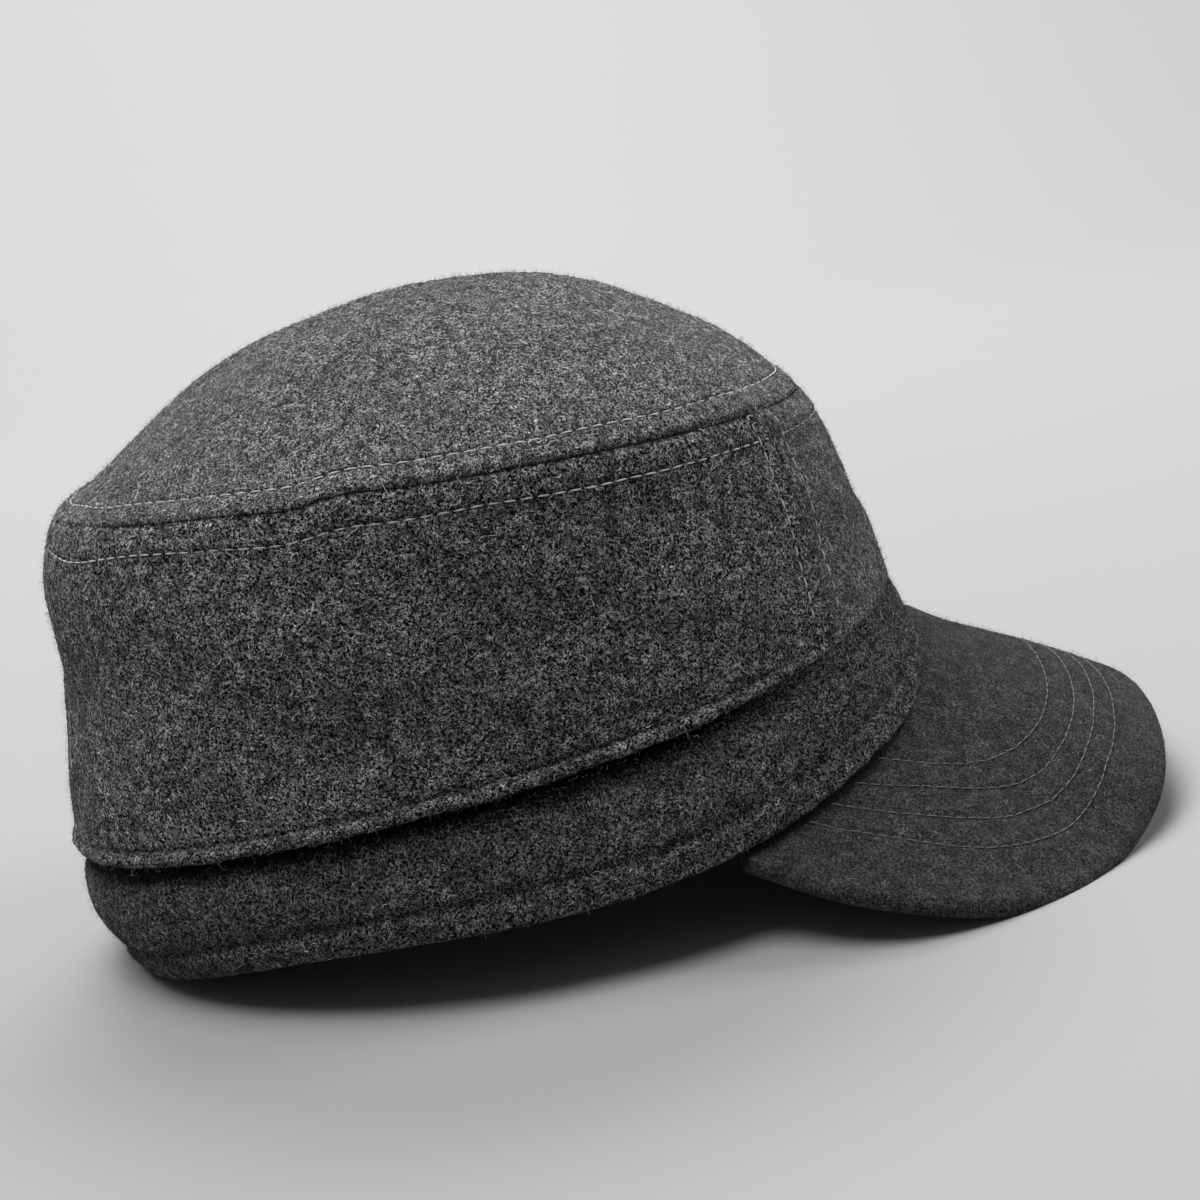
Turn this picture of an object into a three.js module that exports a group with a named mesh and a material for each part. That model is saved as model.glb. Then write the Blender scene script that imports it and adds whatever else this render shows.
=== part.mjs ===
// Cadet cap of thick wool cloth: domed top, front panel, two side panels, band and arched peak.
// Millimetres. +Z up, the peak points along -Y, the wearer's right is -X. It rests on z = 0 on the
// hem at its nape and on the two low edges of its peak. Inside a function, forward means along -Y.

import * as THREE from 'three';

// Rings round the cap. Forward and rearward are reaches from the middle, halfWidth is to one side,
// the heights are those at the brow, over the ear and at the nape, and browLift arches the brow.
const topSeam = { forward: 86, rearward: 92, halfWidth: 77, brow: 108, ear: 112, nape: 110, browLift: 0 };
const foldLine = { forward: 100.5, rearward: 102.5, halfWidth: 81, brow: 57.8, ear: 46.2, nape: 33, browLift: 0 };
const rim = { forward: 107.5, rearward: 92, halfWidth: 84.5, brow: 43.5, ear: 18.2, nape: -1.5, browLift: 4.3 };
const ringRoundness = 0.96;      // power on sine and cosine, under 1 squares the oval a little
const widestPlace = 0.47;        // widest this far from the back of a ring to its front

// The dome rises from the top seam.
const domeTop = { forward: 9, height: 146.5, power: 2.15 };

// How far the side wall swells beyond a straight line from seam to fold.
const wallSwell = { brow: 2.0, ear: 1.5, nape: 4.2, highest: 0.65 };
const bandSwell = { brow: 0.8, ear: 1.2, nape: 6.5 };

const clothThickness = 2.0;
const foldRoll = { out: 1.3, height: 6, browShare: 0.1 };    // the panels' rolled lower edge
const bandThickness = 2.4;
const bandTuck = 6;              // band hidden behind the panels
const hem = { height: 6.5, thickness: 3.4, crease: 0.5 };
const sewingGap = 0.3;           // between pieces that meet at a seam
const seamDip = 0.8;             // cloth drawn in where two pieces are sewn

// Front seams, as angles from straight ahead, at the top seam and at the fold.
const frontSeam = { top: 33, bottom: 38 };

// Peak: lower edge of its outline on one side, from the corner to the middle of the front.
const peakOutline = [
  { forward: 50, side: 79, height: 16.5 },
  { forward: 58, side: 86.5, height: 13 },
  { forward: 71, side: 92, height: 8.5 },
  { forward: 87, side: 93, height: 3.8 },
  { forward: 104, side: 88.5, height: -1.4 },
  { forward: 120, side: 79.5, height: -3.2 },
  { forward: 135, side: 66.5, height: -1.2 },
  { forward: 148, side: 48.5, height: 6.1 },
  { forward: 156.5, side: 26, height: 12.5 },
  { forward: 159.5, side: 0, height: 15.5 },
];
const peakCorner = 64.5;         // angle where the peak's corners end under the band
const peakThickness = 3.8;
const peakLedge = 3.2;           // the part of the peak under the band's hem
const peakCrown = 3;           // rise of the peak's middle over a straight line
const peakEdgeRound = 1.3;

// Mesh fineness
const roundTheCap = 72;
const peakColumns = 44;

const wool = { color: 0x3a3b3d, roughness: 0.95, metalness: 0 };
const peakWool = { color: 0x36353a, roughness: 0.95, metalness: 0 };

const radians = THREE.MathUtils.degToRad;
const mix = THREE.MathUtils.lerp;
const smooth = THREE.MathUtils.smoothstep;

function signedPower(value, power) {
  return Math.sign(value) * Math.abs(value) ** power;
}

// Point of a ring at an angle from straight ahead, counted towards the wearer's right.
function ringPoint(ring, angle) {
  const ahead = signedPower(Math.cos(angle), ringRoundness);
  const aside = signedPower(Math.sin(angle), ringRoundness);
  const middle = mix(-ring.rearward, ring.forward, widestPlace);
  const reach = ahead > 0 ? ring.forward - middle : middle + ring.rearward;
  const level = (ring.brow + ring.nape) / 4 + ring.ear / 2;
  const tilt = (ring.brow - ring.nape) / 2;
  const sag = (ring.brow + ring.nape) / 4 - ring.ear / 2;
  const height = level + tilt * Math.cos(angle) + sag * Math.cos(2 * angle)
    + ring.browLift * (Math.cos(3 * angle) - Math.cos(angle));
  return new THREE.Vector3(-ring.halfWidth * aside, -(middle + reach * ahead), height);
}

// Level outward direction of the cap at an angle.
function outward(angle) {
  const step = 0.01;
  const ahead = ringPoint(foldLine, angle + step).sub(ringPoint(foldLine, angle - step));
  return new THREE.Vector3(-ahead.y, ahead.x, 0).normalize();
}

// A value that runs from brow over ear to nape.
function roundValue(values, angle) {
  const ahead = Math.cos(angle);
  return mix(values.ear, ahead > 0 ? values.brow : values.nape, ahead * ahead);
}

function wallPoint(angle, down) {
  const point = ringPoint(topSeam, angle).lerp(ringPoint(foldLine, angle), down);
  const swell = Math.sin(Math.PI * Math.max(down, 0) ** wallSwell.highest) * roundValue(wallSwell, angle);
  return point.addScaledVector(outward(angle), swell);
}

function domePoint(angle, out) {
  const edge = ringPoint(topSeam, angle);
  const spread = out ** domeTop.power;
  return new THREE.Vector3(
    edge.x * out,
    mix(-domeTop.forward, edge.y, out),
    mix(domeTop.height, edge.z, spread),
  );
}

// The band starts behind the panels, as far in as their cloth and the sewing gap need.
function bandPoint(angle, down) {
  const height = ringPoint(topSeam, angle).z - ringPoint(foldLine, angle).z;
  const hidden = 1 - (Math.max(-down, 0) * bandTuck) / height;
  const inset = surfaceNormal(wallPoint, angle, hidden).multiplyScalar(-clothThickness - sewingGap);
  const start = wallPoint(angle, hidden).add(inset);
  if (down < 0) return start;
  const swell = Math.sin(Math.PI * down) * roundValue(bandSwell, angle);
  return start.lerp(ringPoint(rim, angle), down).addScaledVector(outward(angle), swell);
}

// Outward normal of a surface, by small steps along its two directions.
function surfaceNormal(surface, u, v) {
  const step = 0.002;
  const alongU = surface(u + step, v).sub(surface(u - step, v));
  const alongV = surface(u, v + step).sub(surface(u, v - step));
  return alongU.cross(alongV).normalize();
}

// Closed wall between an outer and an inner skin, which are grids of points [row][column]. Wrapped
// skins close on themselves sideways, and a pole makes the first row one point.
function wall(name, outer, inner, { wrapped = false, pole = false }, finish) {
  const rows = outer.length;
  const columns = outer[0].length;
  const positions = [];
  const index = (skin, row, column) => {
    const place = pole && row === 0 ? 0 : column % columns;
    return (skin * rows + row) * columns + place;
  };
  for (const skin of [outer, inner]) {
    for (const row of skin) for (const point of row) positions.push(point.x, point.y, point.z);
  }
  const triangles = [];
  const addTriangle = (a, b, c) => {
    if (a !== b && b !== c && c !== a) triangles.push(a, b, c);
  };
  const addQuad = (a, b, c, d) => {
    addTriangle(a, b, c);
    addTriangle(a, c, d);
  };
  const lastColumn = wrapped ? columns : columns - 1;
  for (let row = 0; row < rows - 1; row += 1) {
    for (let column = 0; column < lastColumn; column += 1) {
      addQuad(index(0, row, column), index(0, row, column + 1),
        index(0, row + 1, column + 1), index(0, row + 1, column));
      addQuad(index(1, row, column), index(1, row + 1, column),
        index(1, row + 1, column + 1), index(1, row, column + 1));
    }
    if (!wrapped) {
      addQuad(index(0, row, 0), index(0, row + 1, 0), index(1, row + 1, 0), index(1, row, 0));
      addQuad(index(0, row, lastColumn), index(1, row, lastColumn),
        index(1, row + 1, lastColumn), index(0, row + 1, lastColumn));
    }
  }
  for (let column = 0; column < lastColumn; column += 1) {
    if (!pole) {
      addQuad(index(0, 0, column), index(1, 0, column), index(1, 0, column + 1), index(0, 0, column + 1));
    }
    addQuad(index(0, rows - 1, column), index(0, rows - 1, column + 1),
      index(1, rows - 1, column + 1), index(1, rows - 1, column));
  }
  const geometry = new THREE.BufferGeometry();
  geometry.setAttribute('position', new THREE.Float32BufferAttribute(positions, 3));
  geometry.setIndex(triangles);
  const closed = geometry.toNonIndexed();
  closed.computeVertexNormals();
  const mesh = new THREE.Mesh(closed, new THREE.MeshStandardMaterial(finish));
  mesh.name = name;
  return mesh;
}

// Cloth lies flat where it would reach below the surface that the cap rests on.
function rested(point) {
  return new THREE.Vector3(point.x, point.y, Math.max(point.z, 0));
}

function evenSteps(count) {
  return Array.from({ length: count + 1 }, (unused, step) => step / count);
}

// Direction from the top seam into the mitre that the dome and the wall share there.
function mitre(angle) {
  const domeNormal = surfaceNormal(domePoint, angle, 1);
  const wallNormal = surfaceNormal(wallPoint, angle, 0);
  const half = domeNormal.clone().add(wallNormal).normalize();
  return half.multiplyScalar(-1 / half.dot(wallNormal));
}

function makeCrownTop() {
  const outs = [0, 0.12, 0.25, 0.4, 0.55, 0.7, 0.82, 0.91, 0.965, 1];
  const angles = evenSteps(roundTheCap).slice(0, -1).map((turn) => turn * 2 * Math.PI);
  const outer = [];
  const inner = [];
  for (const out of outs) {
    const outerRow = [];
    const innerRow = [];
    for (const angle of angles) {
      const normal = out === 0 ? new THREE.Vector3(0, 0, 1) : surfaceNormal(domePoint, angle, out);
      const edge = out === 1;
      const depth = edge ? mitre(angle) : normal.clone().negate();
      const point = domePoint(angle, out).addScaledVector(depth, edge ? seamDip : 0);
      if (edge) point.z += sewingGap * 1.3;
      outerRow.push(point);
      innerRow.push(point.clone().addScaledVector(depth, clothThickness));
    }
    outer.push(outerRow);
    inner.push(innerRow);
  }
  return wall('crown_top', outer, inner, { wrapped: true, pole: true }, wool);
}

// Angle of the front seam at a height share down the wall.
function seamAngle(down) {
  return radians(mix(frontSeam.top, frontSeam.bottom, down));
}

// A wall panel between two edges, which are functions from the share down to the angle.
function makePanel(name, fromAngle, toAngle, columns) {
  const rollStart = 1 - foldRoll.height / (foldLine.forward - topSeam.forward + topSeam.ear - foldLine.ear);
  const downs = [0, 0.04, 0.12, 0.26, 0.42, 0.58, 0.72, 0.84, rollStart, mix(rollStart, 1, 0.45), 1];
  const outer = [];
  const inner = [];
  for (const down of downs) {
    const outerRow = [];
    const innerRow = [];
    for (const across of evenSteps(columns)) {
      const angle = mix(fromAngle(down), toAngle(down), across);
      const normal = surfaceNormal(wallPoint, angle, down);
      const topEdge = down === 0;
      const browShare = mix(1, foldRoll.browShare, smooth(Math.cos(angle), 0.35, 0.9));
      const roll = foldRoll.out * browShare * Math.sin((Math.PI / 2) * smooth(down, rollStart, 1));
      const depth = topEdge ? mitre(angle) : normal.clone().negate();
      const point = wallPoint(angle, down).addScaledVector(depth, topEdge ? seamDip : -roll);
      outerRow.push(point);
      innerRow.push(point.clone().addScaledVector(depth, clothThickness + (topEdge ? 0 : roll)));
    }
    outer.push(outerRow);
    inner.push(innerRow);
  }
  return wall(name, outer, inner, {}, wool);
}

function makePanels() {
  const gapAngle = sewingGap / topSeam.forward / 2;
  const columns = { front: 16, side: 30 };
  const front = makePanel('front_panel',
    (down) => -seamAngle(down) + gapAngle, (down) => seamAngle(down) - gapAngle, columns.front);
  const right = makePanel('side_panel_right',
    (down) => seamAngle(down) + gapAngle, () => Math.PI - gapAngle, columns.side);
  const left = makePanel('side_panel_left',
    () => -Math.PI + gapAngle, (down) => -seamAngle(down) - gapAngle, columns.side);
  return [front, right, left];
}

function makeBand() {
  const hemStart = 1 - hem.height / (foldLine.ear - rim.ear);
  const sections = [
    { down: -1, out: 0, thickness: bandThickness },
    { down: 0, out: 0, thickness: bandThickness },
    { down: 0.22, out: 0, thickness: bandThickness },
    { down: 0.48, out: 0, thickness: bandThickness },
    { down: hemStart - 0.04, out: 0, thickness: bandThickness },
    { down: hemStart, out: -hem.crease, thickness: bandThickness },
    { down: mix(hemStart, 1, 0.4), out: 0.4, thickness: hem.thickness },
    { down: mix(hemStart, 1, 0.85), out: 0.3, thickness: hem.thickness },
    { down: 1, out: -0.5, thickness: hem.thickness - 1 },
  ];
  const angles = evenSteps(roundTheCap).slice(0, -1).map((turn) => turn * 2 * Math.PI);
  const outer = [];
  const inner = [];
  for (const { down, out, thickness } of sections) {
    const outerRow = [];
    const innerRow = [];
    for (const angle of angles) {
      const normal = down > hemStart ? outward(angle) : surfaceNormal(bandPoint, angle, down);
      const point = bandPoint(angle, down).addScaledVector(normal, out);
      outerRow.push(rested(point));
      innerRow.push(rested(point.clone().addScaledVector(normal, -thickness)));
    }
    outer.push(outerRow);
    inner.push(innerRow);
  }
  return wall('band', outer, inner, { wrapped: true }, wool);
}

function makePeak() {
  const half = peakOutline.map((row) => new THREE.Vector3(-row.side, -row.forward, row.height));
  const mirrored = half.slice(0, -1).map((point) => new THREE.Vector3(-point.x, point.y, point.z));
  const outline = new THREE.CatmullRomCurve3([...mirrored, ...half.reverse()]);
  const reaches = [0, 0.06, 0.2, 0.4, 0.6, 0.8, 0.94, 1];
  const top = reaches.map(() => []);
  const bottom = reaches.map(() => []);
  const up = new THREE.Vector3(0, 0, 1);
  for (const along of evenSteps(peakColumns)) {
    const angle = radians(mix(-peakCorner, peakCorner, along));
    const underHem = bandPoint(angle, 1);
    underHem.z -= sewingGap * 1.5;
    const inside = underHem.clone().addScaledVector(outward(angle), -peakLedge);
    const edge = outline.getPointAt(along).addScaledVector(up, peakThickness);
    reaches.forEach((reach, row) => {
      const share = Math.max(0, (reach - reaches[1]) / (1 - reaches[1]));
      const upper = row === 0 ? inside.clone() : underHem.clone().lerp(edge, share);
      upper.z += peakCrown * Math.sin(Math.PI * share) * Math.sin(Math.PI * along);
      const lower = upper.clone().addScaledVector(up, -peakThickness);
      if (row === reaches.length - 1) {
        upper.z -= peakEdgeRound;
        lower.z += peakEdgeRound;
      }
      top[row].push(rested(upper));
      bottom[row].push(rested(lower));
    });
  }
  return wall('peak', top, bottom, {}, peakWool);
}

const cap = new THREE.Group();
cap.add(makeCrownTop(), ...makePanels(), makeBand(), makePeak());

// Bring the middle of the cap's box over the origin.
const box = new THREE.Box3().setFromObject(cap);
cap.position.y = -(box.min.y + box.max.y) / 2;

export default cap;
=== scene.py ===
import math

import bmesh
import bpy
import numpy as np
from mathutils import Matrix, Vector
from mathutils.bvhtree import BVHTree


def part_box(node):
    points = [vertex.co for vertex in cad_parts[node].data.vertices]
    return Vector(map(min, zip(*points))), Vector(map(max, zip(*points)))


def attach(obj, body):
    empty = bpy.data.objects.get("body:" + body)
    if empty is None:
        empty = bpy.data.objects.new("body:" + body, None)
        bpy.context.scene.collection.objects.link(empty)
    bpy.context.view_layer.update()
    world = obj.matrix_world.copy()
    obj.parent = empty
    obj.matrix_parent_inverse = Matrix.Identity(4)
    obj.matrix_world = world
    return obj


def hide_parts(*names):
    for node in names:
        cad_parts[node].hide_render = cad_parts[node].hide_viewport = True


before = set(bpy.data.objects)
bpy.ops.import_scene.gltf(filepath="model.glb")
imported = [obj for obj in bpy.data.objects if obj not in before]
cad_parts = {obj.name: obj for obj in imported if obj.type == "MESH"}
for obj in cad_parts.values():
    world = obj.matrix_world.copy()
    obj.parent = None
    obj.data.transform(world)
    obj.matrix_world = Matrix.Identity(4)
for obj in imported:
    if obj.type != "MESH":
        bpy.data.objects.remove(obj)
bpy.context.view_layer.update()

# Cadet cap in charcoal wool melton: domed top, front panel, two side panels, band and stitched peak.
# Lengths are millimetres until a mesh is written. Angles run from straight ahead to the wearer's right.
metresPerMillimetre = 0.001
capLines = {
    "topSeam": {"forward": 86.6, "rearward": 89.3, "halfWidth": 77, "brow": 108.6, "ear": 112,
                "nape": 110, "browLift": 0, "step": {"height": 1.9, "angle": 1.80, "width": 0.13}},
    "foldLine": {"forward": 100.5, "rearward": 102.5, "halfWidth": 81, "brow": 61.2, "ear": 46.2,
                 "nape": 33, "browLift": 1.0},
    "rim": {"forward": 107.5, "rearward": 90, "halfWidth": 84.5, "brow": 45.0, "ear": 18.2,
            "nape": -1.5, "browLift": 4.8, "browDip": {"depth": 2.2, "angle": 0.45, "width": 0.2}},
    "roundness": 0.96,           # power on sine and cosine, under 1 squares the oval a little
    "widestPlace": 0.47,         # widest this far from the back of a ring to its front
    "domeForward": 9,
    "domeHeight": 146.5,
    "domePower": 2.15,           # how the dome falls away from its middle
    # How far the cloth stands out of a straight line, at even places from the top seam down to the
    # fold, and from the dome's middle out to the top seam. Between brow, ear and nape it is mixed.
    "wallSwell": {"brow": [0, 1.2, 1.6, 2.0, 2.5, 2.9, 2.9, 2.8, 2.7, 2.3, 1.6],
                  "ear": [0, 1.0, 1.3, 1.5, 1.5, 1.4, 1.2, 0.9, 0.6, 0.3, 0],
                  "nape": [0, 3.0, 3.7, 3.0, 1.6, 0.3, 0, 0.3, 0.2, -0.3, -0.9]},
    "domeSwell": {"brow": [0, 0, 0, 0, 0, 0, 0.2, 0.6, 1.3, 1.4, 0],
                  "ear": [0, 0, 0, 0, 0, 0, 0, 0, 0, 0, 0],
                  "nape": [0, 0, 0, 0, 0, 0, 0, -0.7, -1.6, -1.9, -0.3]},
    "bandSwell": {"brow": -0.2, "ear": 1.2, "nape": 6.5},
    "bandTuck": 6,               # the band goes this far up behind the panels
}
cloth = {
    "thickness": 2.0,
    "sewingGap": 0.3,
    "mitreReach": 2.5,           # beside the top seam the dome and the wall share a mitre
    "seamDip": 1.3,              # the cloth is drawn in where two pieces are sewn
    "seamDipWidth": 1.0,
    "dipMean": 0.82,
    "dipWander": [{"height": 0.15, "rate": 1 / 17, "bend": 2, "bendRate": 1 / 41},
                  {"height": 0.16, "rate": 1.9, "bend": 3, "bendRate": 1 / 3.7}],
    # the top seam is drawn in most beside the ears, less where the cosine of the angle passes these
    "topSeamDepth": {"brow": 0.35, "nape": 0.4, "fade": (0.7, 0.95)},
    "allowance": 6.35,           # folded cloth under the stitch rows beside a seam
    "allowanceRise": 0.45,
    "allowanceFade": (-0.6, 2.4),
    "channelDepth": 0.75,        # the row of stitches pulls the cloth in
    "channelWidth": 0.65,
    "channelPull": 0.25,         # more at each stitch's end
    "pucker": [{"height": 0.10, "rate": 2 * math.pi / 7.9, "bend": 1, "bendRate": 1 / 11}],
    "puckerAt": 3.2,
    "puckerWidth": 3,
    "stitchPitch": 3.5,
    "rowShift": (2, 5),          # this far from a seam, its relief begins to follow the row
    "rowWander": [{"height": 0.16, "rate": 1 / 13}, {"height": 0.10, "rate": 1 / 5.3, "start": 1}],
    # the stitch rows beside the top seam dip by this much near the back
    "rowDip": {"depth": 1.2, "angle": 2.62, "width": 11},
    # at the back the dome's row runs nearer the seam, from one angle to the other
    "domeRowDrop": {"depth": 1.9, "angles": (2.7, 3.05)},
    # painted shade in the seam and in the stitched channel
    "paintedShade": 0.6,
    "seamShadeWidth": 0.6,
    "channelShadeWidth": 0.4,
    "channelShadeShift": 0.2,
}
peakTip = 159.5                  # reach of the solid peak's tip, forward of the rings' zero
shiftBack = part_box("peak")[0].y / metresPerMillimetre + peakTip
slopeStep = 0.002                # of angle or of share, over which a surface's slope is measured


def mixed(low, high, share):
    return low + (high - low) * share


def smoothStep(value, low, high):
    share = np.clip((value - low) / (high - low), 0, 1)
    return share * share * (3 - 2 * share)


def hump(distance, width):
    return np.exp(-(distance / width) ** 2)


def signedPower(value, power):
    return np.sign(value) * np.abs(value) ** power


def unit(vectors):
    return vectors / np.maximum(np.linalg.norm(vectors, axis=-1, keepdims=True), 1e-12)


def column(values):
    return np.asarray(values)[..., None]


# Smooth curve through evenly spaced values
def smoothCurve(values, share):
    knots = np.array([2 * values[0] - values[1], *values, 2 * values[-1] - values[-2]])
    place = np.clip(share, 0, 1) * (len(values) - 1)
    index = np.minimum(place.astype(int), len(values) - 2)
    t = place - index
    before, start, end, after = (knots[index + step] for step in range(4))
    bend = 2 * before - 5 * start + 4 * end - after + t * (3 * (start - end) + after - before)
    return start + 0.5 * t * (end - before + t * bend)


# Running length along a line of points, and points at given places of it
def runningLengths(points):
    steps = np.linalg.norm(np.diff(points, axis=0), axis=1)
    return np.concatenate([[0], np.cumsum(steps)])


def pointsAt(places, lengths, points):
    return np.stack([np.interp(places, lengths, points[:, axis]) for axis in range(3)], -1)


# Uneven handwork: sine waves along a line, each one bent by a slower one
def wander(along, waves):
    total = 0
    for wave in waves:
        bend = wave.get("bend", 0) * np.sin(along * wave.get("bendRate", 0))
        total = total + wave["height"] * np.sin(along * wave["rate"] + wave.get("start", 0) + bend)
    return total


# Point of a ring at an angle
def ringPoint(ring, angle):
    ahead = signedPower(np.cos(angle), capLines["roundness"])
    aside = signedPower(np.sin(angle), capLines["roundness"])
    middle = mixed(-ring["rearward"], ring["forward"], capLines["widestPlace"])
    reach = np.where(ahead > 0, ring["forward"] - middle, middle + ring["rearward"])
    level = (ring["brow"] + ring["nape"]) / 4 + ring["ear"] / 2
    tilt = (ring["brow"] - ring["nape"]) / 2
    sag = (ring["brow"] + ring["nape"]) / 4 - ring["ear"] / 2
    height = level + tilt * np.cos(angle) + sag * np.cos(2 * angle)
    height = height + ring["browLift"] * (np.cos(3 * angle) - np.cos(angle))
    if "browDip" in ring:
        dip = ring["browDip"]
        height = height - dip["depth"] * hump(np.abs(angle) - dip["angle"], dip["width"])
    if "step" in ring:
        step = ring["step"]
        turn = (step["angle"] - angle) / step["width"]
        height = height + step["height"] * turn * hump(turn, 1)
    return np.stack([-ring["halfWidth"] * aside, -(middle + reach * ahead), height], -1)


def outwardAt(angle):
    step = 0.01
    fold = capLines["foldLine"]
    way = ringPoint(fold, angle + step) - ringPoint(fold, angle - step)
    return unit(np.stack([-way[..., 1], way[..., 0], np.zeros_like(way[..., 0])], -1))


# A value that runs from brow over ear to nape
def roundValue(values, angle):
    ahead = np.cos(angle)
    return mixed(values["ear"], np.where(ahead > 0, values["brow"], values["nape"]), ahead * ahead)


def wallPoint(angle, down):
    top = ringPoint(capLines["topSeam"], angle)
    point = mixed(top, ringPoint(capLines["foldLine"], angle), column(down))
    swell = {side: smoothCurve(values, down) for side, values in capLines["wallSwell"].items()}
    return point + outwardAt(angle) * column(roundValue(swell, angle))


def domePoint(angle, out):
    edge = ringPoint(capLines["topSeam"], angle)
    spread = np.maximum(out, 0) ** capLines["domePower"]
    swell = {side: smoothCurve(values, out) for side, values in capLines["domeSwell"].items()}
    height = mixed(capLines["domeHeight"], edge[..., 2], spread) + roundValue(swell, angle)
    forward = mixed(-capLines["domeForward"], edge[..., 1], out)
    return np.stack([edge[..., 0] * out, forward, height], -1)


# Length of the wall from seam to fold, and of the dome from middle to seam at its edge's slope
def wallHeight(angle):
    way = wallPoint(angle, np.ones_like(angle)) - wallPoint(angle, np.zeros_like(angle))
    return np.linalg.norm(way, axis=-1)


def domeReach(angle):
    edgeShare = 0.1
    way = domePoint(angle, np.ones_like(angle)) - domePoint(angle, np.full_like(angle, 1 - edgeShare))
    return np.linalg.norm(way, axis=-1) / edgeShare


def surfaceNormal(surface, u, v):
    alongU = surface(u + slopeStep, v) - surface(u - slopeStep, v)
    alongV = surface(u, v + slopeStep) - surface(u, v - slopeStep)
    return unit(np.cross(alongU, alongV))


def downwardOn(surface, angle, down):
    return unit(surface(angle, down + slopeStep) - surface(angle, down - slopeStep))


def bandPoint(angle, down):
    height = ringPoint(capLines["topSeam"], angle)[..., 2] - ringPoint(capLines["foldLine"], angle)[..., 2]
    hidden = 1 - np.maximum(-down, 0) * capLines["bandTuck"] / height
    inset = surfaceNormal(wallPoint, angle, hidden) * (cloth["thickness"] + cloth["sewingGap"])
    start = wallPoint(angle, hidden) - inset
    shown = column(np.maximum(down, 0))
    swell = np.sin(np.pi * shown) * column(roundValue(capLines["bandSwell"], angle))
    return mixed(start, ringPoint(capLines["rim"], angle), shown) + outwardAt(angle) * swell


# Way from the top seam into the mitre that the dome and the wall share
def mitre(angle):
    wallNormal = surfaceNormal(wallPoint, angle, np.zeros_like(angle))
    half = unit(surfaceNormal(domePoint, angle, np.ones_like(angle)) + wallNormal)
    return -half / column(np.sum(half * wallNormal, -1))


def lengthAlong(surface, angle, place):
    way = surface(angle + slopeStep, place) - surface(angle - slopeStep, place)
    return np.linalg.norm(way, axis=-1) / (2 * slopeStep)


# Soft unevenness of hand-shaped cloth: rows of waves round the cap
clothWaves = [
    {"height": 0.50, "round": 3, "down": 1.6, "start": 0.4},
    {"height": 0.34, "round": 5, "down": -2.7, "start": 2.1},
    {"height": 0.26, "round": 9, "down": 4.1, "start": 4.4},
    {"height": 0.16, "round": 14, "down": -6.3, "start": 1.3},
    {"height": 0.10, "round": 23, "down": 8.9, "start": 5.2},
]


def waviness(angle, down, share):
    total = 0
    for wave in clothWaves:
        turn = wave["round"] * angle + wave["down"] * down + wave["start"]
        total = total + wave["height"] * np.sin(turn)
    return total * share


# Relief beside a seam: the dip in the seam, the folded allowance under it, and the stitched channel
def seamRelief(distance, alongSeam, depth):
    uneven = cloth["dipMean"] + wander(alongSeam, cloth["dipWander"])
    dip = -cloth["seamDip"] * depth * uneven * hump(distance, cloth["seamDipWidth"])
    start, end = cloth["allowanceFade"]
    edge = cloth["allowance"]
    fold = cloth["allowanceRise"] * (1 - smoothStep(distance, edge + start, edge + end))
    pull = 1 + cloth["channelPull"] * (np.cos(2 * np.pi * alongSeam / cloth["stitchPitch"]) - 1)
    channel = -cloth["channelDepth"] * pull * hump(distance - edge, cloth["channelWidth"])
    beside = hump(distance - cloth["puckerAt"], cloth["puckerWidth"])
    return dip + fold + channel + wander(alongSeam, cloth["pucker"]) * beside


# Painted shade in a seam and in the stitched channel beside it
def paintedSeamShade(distance):
    inSeam = hump(distance, cloth["seamShadeWidth"])
    fromChannel = distance - cloth["allowance"] - cloth["channelShadeShift"]
    return cloth["paintedShade"] * (inSeam + hump(fromChannel, cloth["channelShadeWidth"]))


# Length round the top seam at each angle, for evenly spaced stitches
seamAngles = np.linspace(-np.pi, np.pi, 2881)
seamLengths = runningLengths(ringPoint(capLines["topSeam"], seamAngles))


def lengthAtAngle(angle):
    return np.interp(angle, seamAngles, seamLengths)


def topSeamDepth(angle):
    depth = cloth["topSeamDepth"]
    ahead = np.cos(angle)
    atEnds = np.where(ahead > 0, depth["brow"], depth["nape"])
    return mixed(1, atEnds, smoothStep(np.abs(ahead), *depth["fade"]))


# Along the top seam the rows of stitches run a little unevenly
def rowWander(angle):
    along = lengthAtAngle(angle)
    dip = cloth["rowDip"]
    fromDip = along - lengthAtAngle(dip["angle"])
    return wander(along, cloth["rowWander"]) + dip["depth"] * hump(fromDip, dip["width"])


def domeRowWander(angle):
    drop = cloth["domeRowDrop"]
    return rowWander(angle) + drop["depth"] * smoothStep(np.abs(angle), *drop["angles"])


# Distance from the top seam for its relief: true in the seam, and counted from the row beyond it
def towardsRow(distance, shift):
    return distance + shift * smoothStep(distance, *cloth["rowShift"])


def addObject(name, data):
    thing = bpy.data.objects.new(name, data)
    bpy.context.scene.collection.objects.link(thing)
    return thing
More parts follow.
